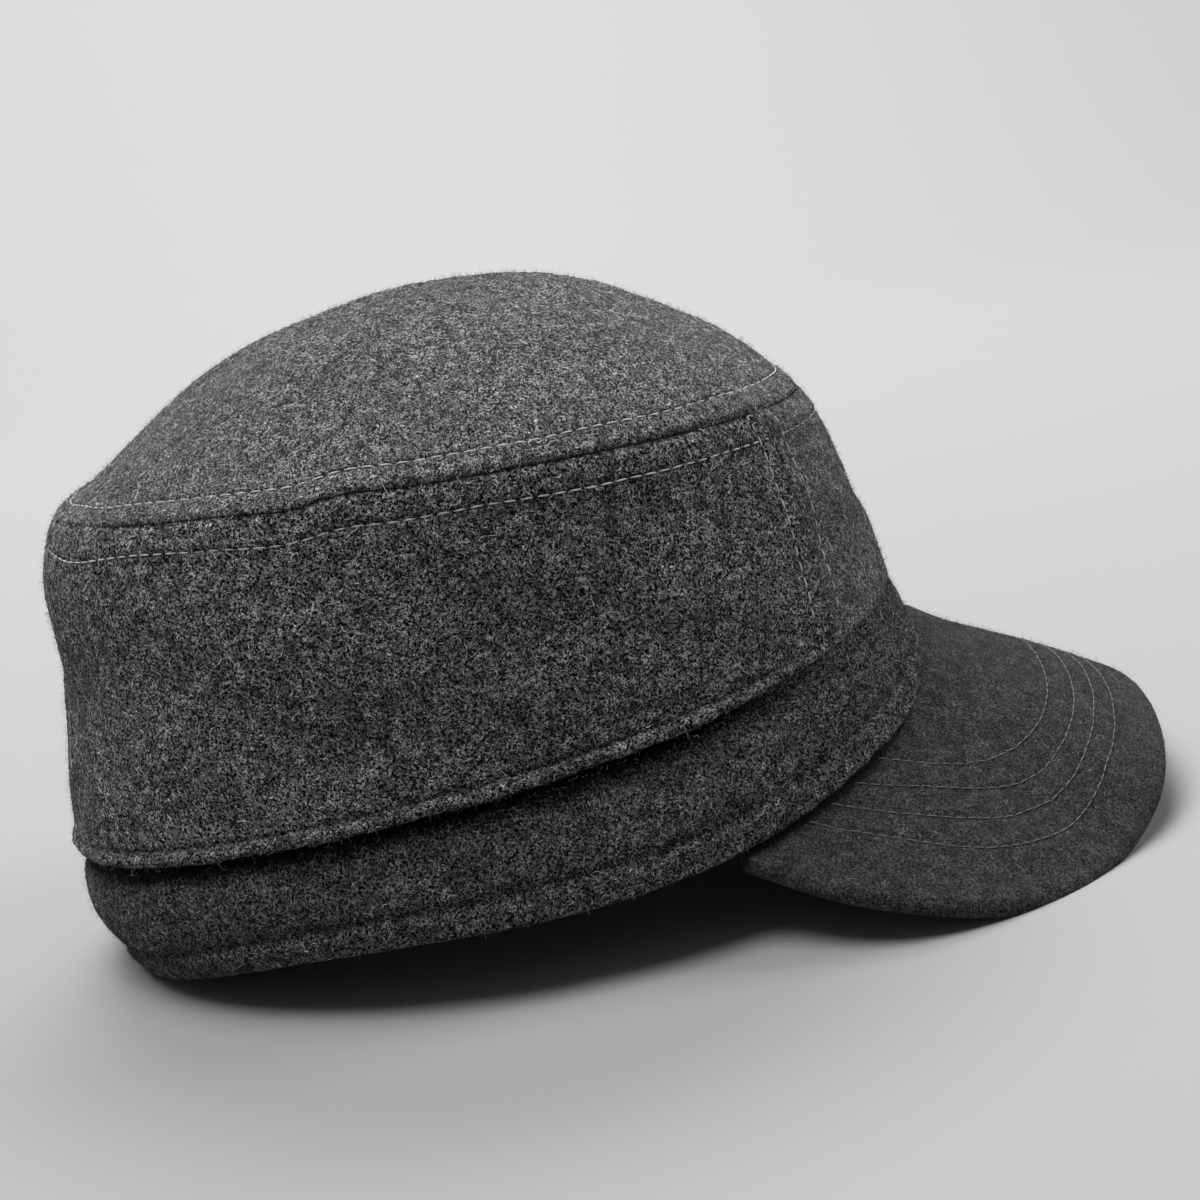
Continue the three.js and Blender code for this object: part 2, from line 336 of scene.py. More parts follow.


# A closed cloth piece from one grid: x runs across it, y runs round its section. It carries a point
# attribute of painted shade, 1 in the creases and on turned cloth, where light doesn't reach.
def clothPiece(name, acrosses, rowCount, place):
    bm = bmesh.new()
    bmesh.ops.create_grid(bm, x_segments=len(acrosses) - 1, y_segments=rowCount - 1, size=0.5)
    mesh = bpy.data.meshes.new(name)
    bm.to_mesh(mesh)
    flat = np.empty(len(mesh.vertices) * 3)
    mesh.vertices.foreach_get("co", flat)
    grid = flat.reshape(-1, 3) + 0.5
    across = np.asarray(acrosses)[np.rint(grid[:, 0] * (len(acrosses) - 1)).astype(int)]
    row = np.rint(grid[:, 1] * (rowCount - 1)).astype(int)
    points, paintedShade = place(across, row)
    points[:, 2] = np.maximum(points[:, 2], 0)       # cloth lies flat where it rests
    paintedShade = np.clip(paintedShade, 0, 1).astype(np.float32)
    mesh.attributes.new("paintedShade", "FLOAT", "POINT").data.foreach_set("value", paintedShade)
    points[:, 1] += shiftBack
    mesh.vertices.foreach_set("co", (points * metresPerMillimetre).ravel())
    bm.clear()
    bm.from_mesh(mesh)
    bmesh.ops.remove_doubles(bm, verts=bm.verts, dist=2e-6)
    openEdges = [edge for edge in bm.edges if edge.is_boundary]
    if openEdges:
        bmesh.ops.holes_fill(bm, edges=openEdges, sides=0)
    bmesh.ops.recalc_face_normals(bm, faces=bm.faces)
    for face in bm.faces:
        face.smooth = True
    bm.to_mesh(mesh)
    bm.free()
    return addObject(name, mesh)


# Values between two ends, closer together near the ends
def closerAtEnds(count, closeness):
    even = np.linspace(0, 1, count)
    return even - closeness * np.sin(2 * np.pi * even) / (2 * np.pi)


# Crown top
crownTop = {
    "columns": 520,
    "middleRows": 34,
    "edgeReach": 10.5,           # closely spaced rows this near the seam
    "edgeRows": 22,
    "innerRows": 16,
    "pole": 0.01,                # nearer the middle than this share, the dome faces straight up
    "softness": 3,               # of the cloth's waves, which die out at the middle and at the seam
    "wavesDown": 3,
}


def crownTopRows():
    middle = np.linspace(0, 1, crownTop["middleRows"])
    edge = np.linspace(0, 1, crownTop["edgeRows"])[1:]
    inner = np.linspace(1, 0, crownTop["innerRows"])
    share = np.concatenate([middle, np.ones_like(edge), inner])
    edgeShare = np.concatenate([np.zeros_like(middle), edge, np.where(inner == 1, 1, 0)])
    inside = np.concatenate([np.zeros(len(middle) + len(edge)), np.ones_like(inner)])
    return share, edgeShare, inside


def placeCrownTop(angle, row):
    share, edgeShare, inside = (values[row] for values in crownTopRows())
    reach = domeReach(angle)
    edge = crownTop["edgeReach"] / reach
    out = share * (1 - edge) + edgeShare * edge
    distance = (1 - out) * reach
    normal = surfaceNormal(domePoint, angle, np.maximum(out, crownTop["pole"]))
    normal = np.where(column(out) < crownTop["pole"], np.array([0.0, 0.0, 1.0]), normal)
    turn = column(1 - smoothStep(distance, 0, cloth["mitreReach"]))
    inward = mixed(-normal, mitre(angle), turn)
    soft = waviness(angle, out * crownTop["wavesDown"], out * (1 - out) * crownTop["softness"])
    fromSeam = towardsRow(distance, domeRowWander(angle))
    depth = topSeamDepth(angle)
    relief = soft + (1 - inside) * seamRelief(fromSeam, lengthAtAngle(angle), depth)
    point = domePoint(angle, out) + inward * column(inside * cloth["thickness"] - relief)
    point[:, 2] += cloth["sewingGap"] * turn[:, 0]
    return point, paintedSeamShade(fromSeam) * depth


crownAngles = np.linspace(-np.pi, np.pi, crownTop["columns"] + 1)
crown = clothPiece("crown_top_cloth", crownAngles, len(crownTopRows()[0]), placeCrownTop)
print("crown top:", len(crown.data.polygons), "faces")

# Side and front panels
panels = {
    "seamTop": 34.4,             # degrees from straight ahead, at the top seam and at the fold
    "seamBottom": 38.8,
    "seamBow": 1.7,
    "frontColumns": 120,
    "sideColumns": 264,
    "topReach": 10.5,            # closely spaced rows this near the top seam and the fold
    "topRows": 22,
    "middleRows": 26,
    "bottomReach": 7.0,
    "bottomRows": 20,
    "rollRows": 9,
    "innerRows": 14,
    "softness": 1.1,
    "wavesDown": 3,
    "rollOut": 1.9,              # the rolled lower edge stands out this far
    "rollWidth": 1.7,
    "rollClimb": 0.75,           # of its width, over which the roll reaches its height
    "rollHang": 0.4,             # of its thickness, by which it hangs below the fold
    "rollWander": [{"height": 0.14, "rate": 17, "start": 1.1}, {"height": 0.10, "rate": 41, "start": 0.3},
                   {"height": 0.12, "rate": 97, "bend": 2, "bendRate": 23}],
    "rollCrease": {"depth": 0.35, "above": 0.3, "width": 0.65},
    # painted shade along the crease above the roll
    "rollShade": {"share": 0.3, "above": 0.4, "width": 0.5},
    # the roll is lower at the brow and the nape; the fades are cosines of the angle from straight ahead
    "browShare": 0.05,
    "browFade": (0.45, 0.97),
    "napeShare": 0.45,
    "napeFade": (0.75, 0.98),
    # painted shade on the turned lower edge: each share comes in as the cloth turns between two angles, and
    # the fully turned inner face is painted dark all over
    "turnedShades": [(0.7, 0.3, 1.1), (0.3, 1.2, 2.2)],
    "stitchRows": 4.8,           # this far either side of a front seam
    "seamDepth": 0.3,            # of the dip of the top seam
    # painted shade in the upright seams, as a share of the top seam's
    "seamShade": 0.4,
    "seamFade": 5,               # near the fold the upright seams are covered
}


def panelRows():
    top = np.linspace(0, 1, panels["topRows"])
    middle = np.linspace(0, 1, panels["middleRows"])[1:]
    bottom = np.linspace(0, 1, panels["bottomRows"])[1:]
    roll = np.linspace(0, np.pi, panels["rollRows"])[1:]
    inner = np.linspace(1, 0, panels["innerRows"])[1:]
    before = len(top) + len(middle)
    after = len(bottom) + len(roll)
    topShare = np.concatenate([top, np.ones(len(middle) + after), inner > 0, [0]])
    share = np.concatenate([np.zeros(len(top)), middle, np.ones(after), inner, [0]])
    bottomShare = np.concatenate([np.zeros(before), bottom, np.ones(len(roll)), np.zeros(len(inner) + 1)])
    turned = np.concatenate([np.zeros(before + len(bottom)), roll, np.full(len(inner), np.pi), [0]])
    return topShare, share, bottomShare, turned


def seamAngle(down):
    lowered = np.maximum(down, 0) ** panels["seamBow"]
    return np.radians(mixed(panels["seamTop"], panels["seamBottom"], lowered))


# Height of the rolled edge, its crease, and the painted shade above it
def rolledEdge(angle, fromBottom):
    ahead = np.cos(angle)
    share = mixed(1, panels["browShare"], smoothStep(ahead, *panels["browFade"]))
    share = share * mixed(1, panels["napeShare"], smoothStep(-ahead, *panels["napeFade"]))
    width = panels["rollWidth"]
    climb = np.clip((width - fromBottom) / (width * panels["rollClimb"]), 0, 1)
    bead = np.sqrt(np.clip(1 - (1 - climb) ** 2, 0, 1))
    roll = panels["rollOut"] * share * (1 + wander(angle, panels["rollWander"])) * bead
    line, shade = panels["rollCrease"], panels["rollShade"]
    crease = -line["depth"] * share * hump(fromBottom - width - line["above"], line["width"])
    paintedShade = shade["share"] * share * hump(fromBottom - width - shade["above"], shade["width"])
    return roll, crease, paintedShade


# Relief and painted shade of the upright seams at a panel's ends
def uprightSeams(seams, angle, down, fromTop, fromBottom):
    relief, paintedShade = 0, 0
    for seam in seams:
        gap = np.abs(angle - seam["angle"](down)) * lengthAlong(wallPoint, angle, down)
        if seam["stitched"]:
            fromSeam = gap * cloth["allowance"] / panels["stitchRows"]
            paintedShade = paintedShade + panels["seamShade"] * paintedSeamShade(fromSeam)
            shape = seamRelief(fromSeam, fromTop, panels["seamDepth"])
        else:
            shape = -cloth["seamDip"] * hump(gap, cloth["seamDipWidth"])
        relief = relief + shape * smoothStep(fromBottom, 0, panels["seamFade"])
    return relief, paintedShade


def placePanel(fromAngle, toAngle, seams):
    def place(across, row):
        topShare, share, bottomShare, turned = (values[row] for values in panelRows())
        height = wallHeight(mixed(fromAngle(0.5), toAngle(0.5), across))
        ends = panels["topReach"] + panels["bottomReach"]
        down = (topShare * panels["topReach"] + bottomShare * panels["bottomReach"]) / height
        down = down + share * (1 - ends / height)
        down = np.where(turned == np.pi, share, down)
        angle = mixed(fromAngle(down), toAngle(down), across)
        fromTop = down * height
        fromBottom = (1 - down) * height
        turn = column(1 - smoothStep(fromTop, 0, cloth["mitreReach"]))
        inward = mixed(-surfaceNormal(wallPoint, angle, down), mitre(angle), turn)
        outer = np.where(turned == np.pi, 0, 1)

        roll, crease, rollPaintedShade = rolledEdge(angle, fromBottom)
        upright, uprightPaintedShade = uprightSeams(seams, angle, down, fromTop, fromBottom)
        fromSeam = towardsRow(fromTop, -rowWander(angle))
        topSeam = seamRelief(fromSeam, lengthAtAngle(angle), topSeamDepth(angle))
        # painted shade on the turned edge and the inner face, in the top seam and above the roll
        shades = panels["turnedShades"]
        underside = sum(shade * smoothStep(turned, start, end) for shade, start, end in shades)
        paintedShade = np.maximum(paintedSeamShade(fromSeam) * topSeamDepth(angle) + rollPaintedShade, underside)

        softShare = panels["softness"] * np.sin(np.pi * np.clip(down, 0, 1))
        soft = waviness(angle, down * panels["wavesDown"], softShare)
        relief = soft + outer * (topSeam + upright + crease)
        wall = cloth["thickness"] + roll
        depth = (1 - np.cos(turned)) / 2 * wall - roll
        depth = np.where(turned == np.pi, cloth["thickness"], depth)
        beyond = downwardOn(wallPoint, angle, down) * column(np.sin(turned) * wall * panels["rollHang"])
        point = wallPoint(angle, down) + inward * column(depth - relief) + beyond
        return point, paintedShade + uprightPaintedShade
    return place


# At the front the panels are a sewing gap apart; the back seam is sewn shut
sewnAngle = cloth["sewingGap"] / capLines["topSeam"]["forward"] / 2


def leftSeamAngle(down):
    return -seamAngle(down)


def backAngle(down):
    return np.pi + 0 * down


def leftBackAngle(down):
    return -backAngle(down)


rightSeam = {"angle": seamAngle, "stitched": True}
leftSeam = {"angle": leftSeamAngle, "stitched": True}
backSeam = {"angle": backAngle, "stitched": False}
leftBackSeam = {"angle": leftBackAngle, "stitched": False}
frontAcross = closerAtEnds(panels["frontColumns"], 0.5)
sideAcross = closerAtEnds(panels["sideColumns"], 0.6)
panelRowCount = len(panelRows()[0])
frontPanel = clothPiece("front_panel_cloth", frontAcross, panelRowCount,
                        placePanel(lambda down: leftSeamAngle(down) + sewnAngle,
                                   lambda down: seamAngle(down) - sewnAngle, [rightSeam, leftSeam]))
sidePanelRight = clothPiece("side_panel_right_cloth", sideAcross, panelRowCount,
                            placePanel(lambda down: seamAngle(down) + sewnAngle, backAngle,
                                       [rightSeam, backSeam]))
sidePanelLeft = clothPiece("side_panel_left_cloth", sideAcross, panelRowCount,
                           placePanel(leftBackAngle, lambda down: leftSeamAngle(down) - sewnAngle,
                                      [leftBackSeam, leftSeam]))
print("panels:", len(frontPanel.data.polygons), len(sidePanelRight.data.polygons), "faces")

# Band, with a turned hem along its lower edge
band = {
    "columns": 440,
    "tuckRows": 4,
    "upperRows": 20,
    "hemRows": 10,
    "rollRows": 9,
    "innerRows": 14,
    "lowest": 0.985,             # of the band's height; the hem's roll is below it
    "thickness": 2.4,
    "softness": 0.55,
    "wavesDown": 2,
    "hemHeight": 6.5,
    "hemThickness": 3.4,
    "hemTurn": 0.5,              # the hem's inner face is this much nearer
    "hemHang": 0.275,            # of its thickness
    "hemOut": 0.9,
    "hemWander": [{"height": 0.12, "rate": 61}],
    "hemCrease": 0.6,
    # painted shade in the hem's crease
    "hemShade": 0.3,
    "creaseWidth": 0.05,         # of the band's height
    "hemFade": (0.15, 0.45),     # nearer straight ahead the hem lies flat, hidden by nap
    "browPlump": 1.6,            # at the brow the band stands level with the front panel
    "browFade": (0.6, 0.97),
    "plumpFall": 0.6,            # by this share lower down
    # under the rolled edge the band is drawn in and painted with shadow, but not at the brow
    "hollowDepth": 1.3,
    "hollowDown": 0.1,
    "hollowWidth": 0.1,
    "hollowFade": (0.45, 0.85),
}
hemStart = 1 - band["hemHeight"] / (capLines["foldLine"]["ear"] - capLines["rim"]["ear"])


def bandRows():
    hemBlend = 0.08
    lowest = band["lowest"]
    outerDown = np.concatenate([np.linspace(-1, 0, band["tuckRows"]),
                                np.linspace(0, hemStart - hemBlend, band["upperRows"])[1:],
                                np.linspace(hemStart - hemBlend, hemStart + hemBlend, band["hemRows"])[1:],
                                np.linspace(hemStart + hemBlend, lowest, band["hemRows"])[1:]])
    roll = np.linspace(0, np.pi, band["rollRows"])[1:]
    innerDown = np.linspace(lowest, -1, band["innerRows"])[1:]
    down = np.concatenate([outerDown, np.full(len(roll), lowest), innerDown, [-1]])
    turned = np.concatenate([np.zeros(len(outerDown)), roll, np.full(len(innerDown), np.pi), [0]])
    return down, turned


def placeBand(angle, row):
    down, turned = (values[row] for values in bandRows())
    ahead = np.cos(angle)
    level = column(smoothStep(down, hemStart - 0.02, hemStart + 0.1))
    normal = unit(mixed(surfaceNormal(bandPoint, angle, down), outwardAt(angle), level))
    inHem = smoothStep(down, hemStart, hemStart + 0.06)
    wall = mixed(band["thickness"], band["hemThickness"], inHem)
    outer = np.where(turned == np.pi, 0, 1)
    hemShare = smoothStep(np.abs(angle), *band["hemFade"])
    hemLine = hemShare * hump(down - hemStart, band["creaseWidth"])
    softShare = band["softness"] * smoothStep(down, 0.02, 0.2)
    soft = waviness(angle + 0.7, down * band["wavesDown"], softShare)
    soft = soft + wander(angle, band["hemWander"]) * inHem
    plump = band["browPlump"] * smoothStep(ahead, *band["browFade"])
    plump = plump * (1 - band["plumpFall"] * smoothStep(down, 0.4, 0.9))
    hollowShare = 1 - smoothStep(ahead, *band["hollowFade"])
    hollow = band["hollowDepth"] * hump(down - band["hollowDown"], band["hollowWidth"]) * hollowShare
    hem = band["hemOut"] * inHem * hemShare - band["hemCrease"] * hemLine
    relief = soft + outer * (hem + plump - hollow)
    depth = (1 - np.cos(turned)) / 2 * (wall - band["hemTurn"] * inHem)
    beyond = downwardOn(bandPoint, angle, down) * column(np.sin(turned) * wall * band["hemHang"])
    # painted shadow under the rolled edge, painted shade in the hem's crease and on the turned hem and its
    # inner face
    shadowEnd = band["hollowDown"] + band["hollowWidth"] * 1.3
    shadow = 1 - smoothStep(down, band["hollowDown"], shadowEnd)
    paintedShade = shadow * hollowShare + band["hemShade"] * hemLine
    paintedShade = np.maximum(paintedShade, smoothStep(turned, 1.0, 2.0) * hemShare)
    return bandPoint(angle, down) - normal * column(depth - relief) + beyond, paintedShade


bandAngles = np.linspace(-np.pi, np.pi, band["columns"] + 1)
bandPiece = clothPiece("band_cloth", bandAngles, len(bandRows()[0]), placeBand)
print("band:", len(bandPiece.data.polygons), "faces")

# Peak, quilted by four curved rows of stitches
peak = {
    "columns": 240,
    "topRows": 78,
    "underRows": 30,
    "edgeReach": 4,              # closely spaced rows this near the edge, at these distances
    "edgeRows": [3.4, 2.8, 2.3, 1.9, 1.5, 1.15, 0.8, 0.5, 0.25, 0.08],
    "corner": 64.5,              # degrees from straight ahead
    "thickness": 3.8,
    "ledge": 3.2,                # the peak goes under the hem this far, and rises behind it
    "ledgeRise": 0.3,
    "crown": 2,
    # open height between the hem and the peak; the fades are radians from straight ahead
    "browGap": 0.2,
    "templeGap": 2.1,
    "gapFade": (0.35, 0.75),
    # painted shadow of the hem on the peak, over this width and between these angles
    "shadowWidth": 4.5,          # how far the hem's shadow reaches over the peak
    "shadowFade": (0.35, 0.7),
    "browRise": 2.6,             # at the brow the peak's cloth runs up the band
    "browRiseWidth": 8,
    "browRiseFade": (0.3, 0.75),
    "rows": 4,
    "channelDepth": 0.42,
    "channelWidth": 0.75,
    # painted shade in the stitched channels
    "channelShade": 0.4,
    "padding": 0.25,             # the cloth stands up between the rows
    "paddingFade": 4,
    "underQuilt": 0.5,           # of the relief above
    "swell": {"height": 0.35, "forward": 13, "side": 17},
    "ripple": {"height": 0.18, "forward": 9, "side": 7.1},
    "stitchPitch": 2.9,
    "outlineSteps": 40,          # between two points of the outline
    "outlinePlaces": 801,
    "softening": 14,             # the outline's corners are rounded over this length
}
peakOutline = [
    {"forward": 50, "side": 79, "height": 16.5},
    {"forward": 58, "side": 86.5, "height": 13},
    {"forward": 71, "side": 92, "height": 8.5},
    {"forward": 87, "side": 93, "height": 3.8},
    {"forward": 104, "side": 88.5, "height": -1.4},
    {"forward": 120.5, "side": 80.5, "height": -3.2},
    {"forward": 134.5, "side": 68.8, "height": -1.0},
    {"forward": 150.4, "side": 51.5, "height": 6.1},
    {"forward": 159.2, "side": 26, "height": 12.5},
    {"forward": 162.3, "side": 0, "height": 15.5},
]
# Ovals of the innermost and the outermost row of stitches; a power over 2 squares them a little
innerOval = {"middle": 92, "forward": 43.8, "side": 56, "power": 2.5}
outerOval = {"middle": 91, "forward": 60.7, "side": 77, "power": 2.08}


def peakOval(row):
    share = row / (peak["rows"] - 1)
    return {key: mixed(innerOval[key], outerOval[key], share) for key in innerOval}


# The outline with its corners softened: each point goes towards the mean of its neighbours
def rounded(curve, lengths):
    even = np.linspace(0, lengths[-1], peak["outlinePlaces"])
    points = pointsAt(even, lengths, curve)
    reach = int(peak["softening"] * 2.5 / even[1])
    weights = hump(np.arange(-reach, reach + 1) * even[1], peak["softening"])
    weights = weights / weights.sum()
    start = 2 * points[0] - points[reach:0:-1]
    end = 2 * points[-1] - points[-2:-reach - 2:-1]
    padded = np.vstack([start, points, end])
    soft = np.stack([np.convolve(padded[:, axis], weights, "valid") for axis in range(3)], -1)
    soft = soft + (points - soft).mean(axis=0)
    return pointsAt(lengths, even, soft)


# Centripetal Catmull-Rom curve between the middle two of four points
def curveBetween(points):
    knots = np.concatenate([[0], np.cumsum(np.linalg.norm(np.diff(points, axis=0), axis=1) ** 0.5)])
    place = column(np.linspace(knots[1], knots[2], peak["outlineSteps"]))

    def between(low, high, start, end):
        return mixed(low, high, (place - knots[start]) / (knots[end] - knots[start]))

    lines = [between(points[i], points[i + 1], i, i + 1) for i in range(3)]
    bends = [between(lines[i], lines[i + 1], i, i + 2) for i in range(2)]
    return between(*bends, 1, 2)


# Curve through the outline's points, measured evenly along its length
def outlineCurve():
    half = [(row["side"], -row["forward"], row["height"]) for row in peakOutline]
    points = np.array(half[:-1] + [(-side, rearward, height) for side, rearward, height in half[::-1]])
    points = np.vstack([2 * points[0] - points[1], points, 2 * points[-1] - points[-2]])
    curve = np.concatenate([curveBetween(points[start:start + 4]) for start in range(len(points) - 3)])
    lengths = runningLengths(curve)
    return rounded(curve, lengths), lengths / lengths[-1]


outlinePoints, outlineShares = outlineCurve()


def outlineAt(along):
    return pointsAt(along, outlineShares, outlinePoints)


def ovalDistance(oval, forward, side):
    reach = np.abs((forward - oval["middle"]) / oval["forward"])
    aside = np.abs(side / oval["side"])
    power = oval["power"]
    radius = np.maximum((reach ** power + aside ** power) ** (1 / power), 1e-6)
    slope = np.hypot((reach / radius) ** (power - 1) / oval["forward"],
                     (aside / radius) ** (power - 1) / oval["side"])
    return (radius - 1) / np.maximum(slope, 1e-6)


def peakRows():
    edge = peak["edgeRows"]
    top = np.linspace(0, 1, peak["topRows"])
    underside = np.linspace(1, 0, peak["underRows"])
    away = peak["edgeReach"]
    share = np.concatenate([[0], top, np.ones(2 * len(edge) - 1), underside, [0, 0]])
    fromEdge = np.concatenate([[-1], np.full(len(top), away), edge, edge[-2::-1],
                               np.full(len(underside), away), [-1, -1]])
    under = np.concatenate([np.zeros(1 + len(top) + len(edge)), np.ones(len(edge) + len(underside)), [0]])
    return share, fromEdge, under


# Relief and painted shade of the stitched channels, and the relief of the padding between them
def quilting(forward, side):
    relief, paintedShade = 0, 0
    for number in range(peak["rows"]):
        fromRow = ovalDistance(peakOval(number), forward, side)
        relief = relief - peak["channelDepth"] * hump(fromRow, peak["channelWidth"])
        paintedShade = paintedShade + peak["channelShade"] * hump(fromRow, peak["channelWidth"] * 0.7)
    between = smoothStep(ovalDistance(innerOval, forward, side), -peak["paddingFade"], 0)
    between = between * (1 - smoothStep(ovalDistance(outerOval, forward, side), 0, peak["paddingFade"]))
    return relief + peak["padding"] * between, paintedShade


def placePeak(along, row):
    share, fromEdge, under = (values[row] for values in peakRows())
    angle = np.radians(mixed(-peak["corner"], peak["corner"], along))
    aside = np.abs(angle)
    upward = np.array([0.0, 0.0, 1.0])
    gap = mixed(peak["browGap"], peak["templeGap"], smoothStep(aside, *peak["gapFade"]))
    underHem = bandPoint(angle, np.ones_like(angle)) - upward * column(gap)
    edge = outlineAt(along) + upward * peak["thickness"]
    width = np.linalg.norm(edge - underHem, axis=-1)
    tucked = fromEdge < 0
    close = peak["edgeReach"]
    reach = share * (1 - close / width) + np.where(share == 1, (close - fromEdge) / width, 0)
    reach = np.clip(np.where(tucked, 0, reach), 0, 1)
    fromHem = reach * width
    rise = peak["crown"] * np.sin(np.pi * reach) * np.sin(np.pi * along)
    browShare = 1 - smoothStep(aside, *peak["browRiseFade"])
    rise = rise + peak["browRise"] * browShare * hump(fromHem, peak["browRiseWidth"])
    rise = rise + np.where(tucked & (under == 0), gap + peak["ledgeRise"], 0)
    inward = -outwardAt(angle) * column(np.where(tucked, peak["ledge"], 0))
    point = mixed(underHem, edge, column(reach)) + upward * column(rise) + inward

    half = peak["thickness"] / 2
    toEdge = np.minimum((1 - reach) * width, half)
    edgeHalf = np.sqrt(np.maximum(half ** 2 - (half - toEdge) ** 2, 0))
    forward, side = -point[:, 1], point[:, 0]
    quilt, channels = quilting(forward, side)
    swell, ripple = peak["swell"], peak["ripple"]
    soft = swell["height"] * np.sin(forward / swell["forward"] + 1.0) * np.sin(side / swell["side"] + 0.4)
    soft = soft + ripple["height"] * np.sin(forward / ripple["forward"] + side / ripple["side"])
    fade = smoothStep(fromHem, 1, 6) * smoothStep(toEdge, 0.2, half)
    quilt = quilt * fade
    height = np.where(under > 0, -edgeHalf - quilt * peak["underQuilt"], edgeHalf + quilt) - half
    # painted shadow of the hem over the peak
    shadow = 1 - smoothStep(fromHem, 0, peak["shadowWidth"])
    shadow = shadow * smoothStep(aside, *peak["shadowFade"])
    return point + upward * column(height + soft * fade), shadow + channels


peakPiece = clothPiece("peak_cloth", closerAtEnds(peak["columns"], 0.5), len(peakRows()[0]), placePeak)
print("peak:", len(peakPiece.data.polygons), "faces")

# Stitches: one small grain of thread, repeated along each row and seated on the cloth
thread = {
    "radius": 0.2,
    "dash": 2.8,
    "downPitch": 3.6,            # down the front seams
    "downDash": 2.7,
    "downSpan": (0.02, 0.93),    # of the seam's height
    "peakDash": 0.96,            # of the pitch there
    "hemClear": 0.6,             # the peak's rows end this far in front of the hem
    "archDepth": 0.16,           # the ends of a stitch go down into the cloth
    "lift": 0.8,                 # of the radius
    # uneven placing, as the foot of the machine rides over thick wool: random steps that add up
    "wander": {"step": 0.22, "share": 0.35, "most": 0.5},
    "peakWander": {"step": 0.12, "most": 0.6},
    "seatReach": 6,              # the cloth's face lies no further than this from a row's line
}
pieceTrees = {}


def treeOf(piece):
    if piece.name not in pieceTrees:
        bm = bmesh.new()
        bm.from_mesh(piece.data)
        pieceTrees[piece.name] = BVHTree.FromBMesh(bm)
        bm.free()
    return pieceTrees[piece.name]


# Seats points on a piece by looking back at it along their normals
def seated(piece, points, normals):
    tree = treeOf(piece)
    away = thread["seatReach"] * metresPerMillimetre
    found = []
    for point, normal in zip(points, normals):
        start = Vector(point) * metresPerMillimetre + Vector((0, shiftBack * metresPerMillimetre, 0))
        start = start + Vector(normal) * away
        location = tree.ray_cast(start, -Vector(normal), 2 * away)[0]
        found.append(None if location is None else (np.array(location), np.array(normal)))
    return found


def grainOfThread():
    bm = bmesh.new()
    bmesh.ops.create_uvsphere(bm, u_segments=6, v_segments=7, radius=1,
                              matrix=Matrix.Rotation(math.pi / 2, 4, "Y"))
    mesh = bpy.data.meshes.new("grain")
    bm.to_mesh(mesh)
    bm.free()
    points = np.array([vertex.co for vertex in mesh.vertices])
    faces = [list(polygon.vertices) for polygon in mesh.polygons]
    bpy.data.meshes.remove(mesh)
    return points, faces


grainPoints, grainFaces = grainOfThread()


def stitchMesh(name, rows):
    vertices, faces = [], []
    radius = thread["radius"] * metresPerMillimetre
    lengthwise, sideways, upward = (grainPoints[:, axis:axis + 1] for axis in range(3))
    arch = -thread["archDepth"] * metresPerMillimetre * lengthwise ** 2
    height = upward * radius + arch + radius * thread["lift"]
    for row in rows:
        half = row["dash"] / 2 * metresPerMillimetre
        for first, second in zip(row["places"][:-1], row["places"][1:]):
            if first is None or second is None:
                continue
            start, normal = first
            end = second[0]
            way = (end - start) / np.linalg.norm(end - start)
            side = np.cross(normal, way)
            place = (start + end) / 2 + way * lengthwise * half + side * sideways * radius
            place = place + normal * height
            base = len(vertices)
            vertices.extend(place.tolist())
            faces.extend([[base + corner for corner in face] for face in grainFaces])
    mesh = bpy.data.meshes.new(name)
    mesh.from_pydata(vertices, [], faces)
    for polygon in mesh.polygons:
        polygon.use_smooth = True
    return addObject(name, mesh)


def evenStitches(points, pitch):
    lengths = runningLengths(points)
    return pointsAt(np.arange(0, lengths[-1], pitch), lengths, points)


def stitchRow(piece, points, normals, pitch, dash, seed):
    random = np.random.default_rng(seed)
    even = evenStitches(points, pitch)
    shares = np.linspace(0, 1, len(even))
    evenNormals = unit(pointsAt(shares, np.linspace(0, 1, len(points)), normals))
    wandering = thread["wander"]
    drift = np.cumsum(random.normal(0, wandering["step"], (len(even), 3)), axis=0)
    drift = drift - column(shares) * drift[-1]       # back in line at the row's end
    drift = np.clip(drift * wandering["share"], -wandering["most"], wandering["most"])
    return {"places": seated(piece, even + drift, evenNormals), "dash": dash}


def rowOnDome(distance, fromAngle, toAngle):
    angle = np.linspace(fromAngle, toAngle, 1200)
    out = 1 - (distance - domeRowWander(angle)) / domeReach(angle)
    return domePoint(angle, out), surfaceNormal(domePoint, angle, out)


def rowOnWall(distance, fromAngle, toAngle):
    angle = np.linspace(fromAngle, toAngle, 900)
    down = (distance + rowWander(angle)) / wallHeight(angle)
    return wallPoint(angle, down), surfaceNormal(wallPoint, angle, down)


def rowDownWall(seam, aside):
    down = np.linspace(*thread["downSpan"], 400)
    angle = seam(down)
    angle = angle + aside / lengthAlong(wallPoint, angle, down)
    return wallPoint(angle, down), surfaceNormal(wallPoint, angle, down)


# Stitches of a panel: one row along the top seam and one down each stitched seam
def panelStitches(name, piece, turns, seed, seams):
    places = rowOnWall(cloth["allowance"], *turns)
    rows = [stitchRow(piece, *places, cloth["stitchPitch"], thread["dash"], seed)]
    for seam, aside, seamSeed in seams:
        places = rowDownWall(seam, aside)
        rows.append(stitchRow(piece, *places, thread["downPitch"], thread["downDash"], seamSeed))
    return stitchMesh(name, rows)


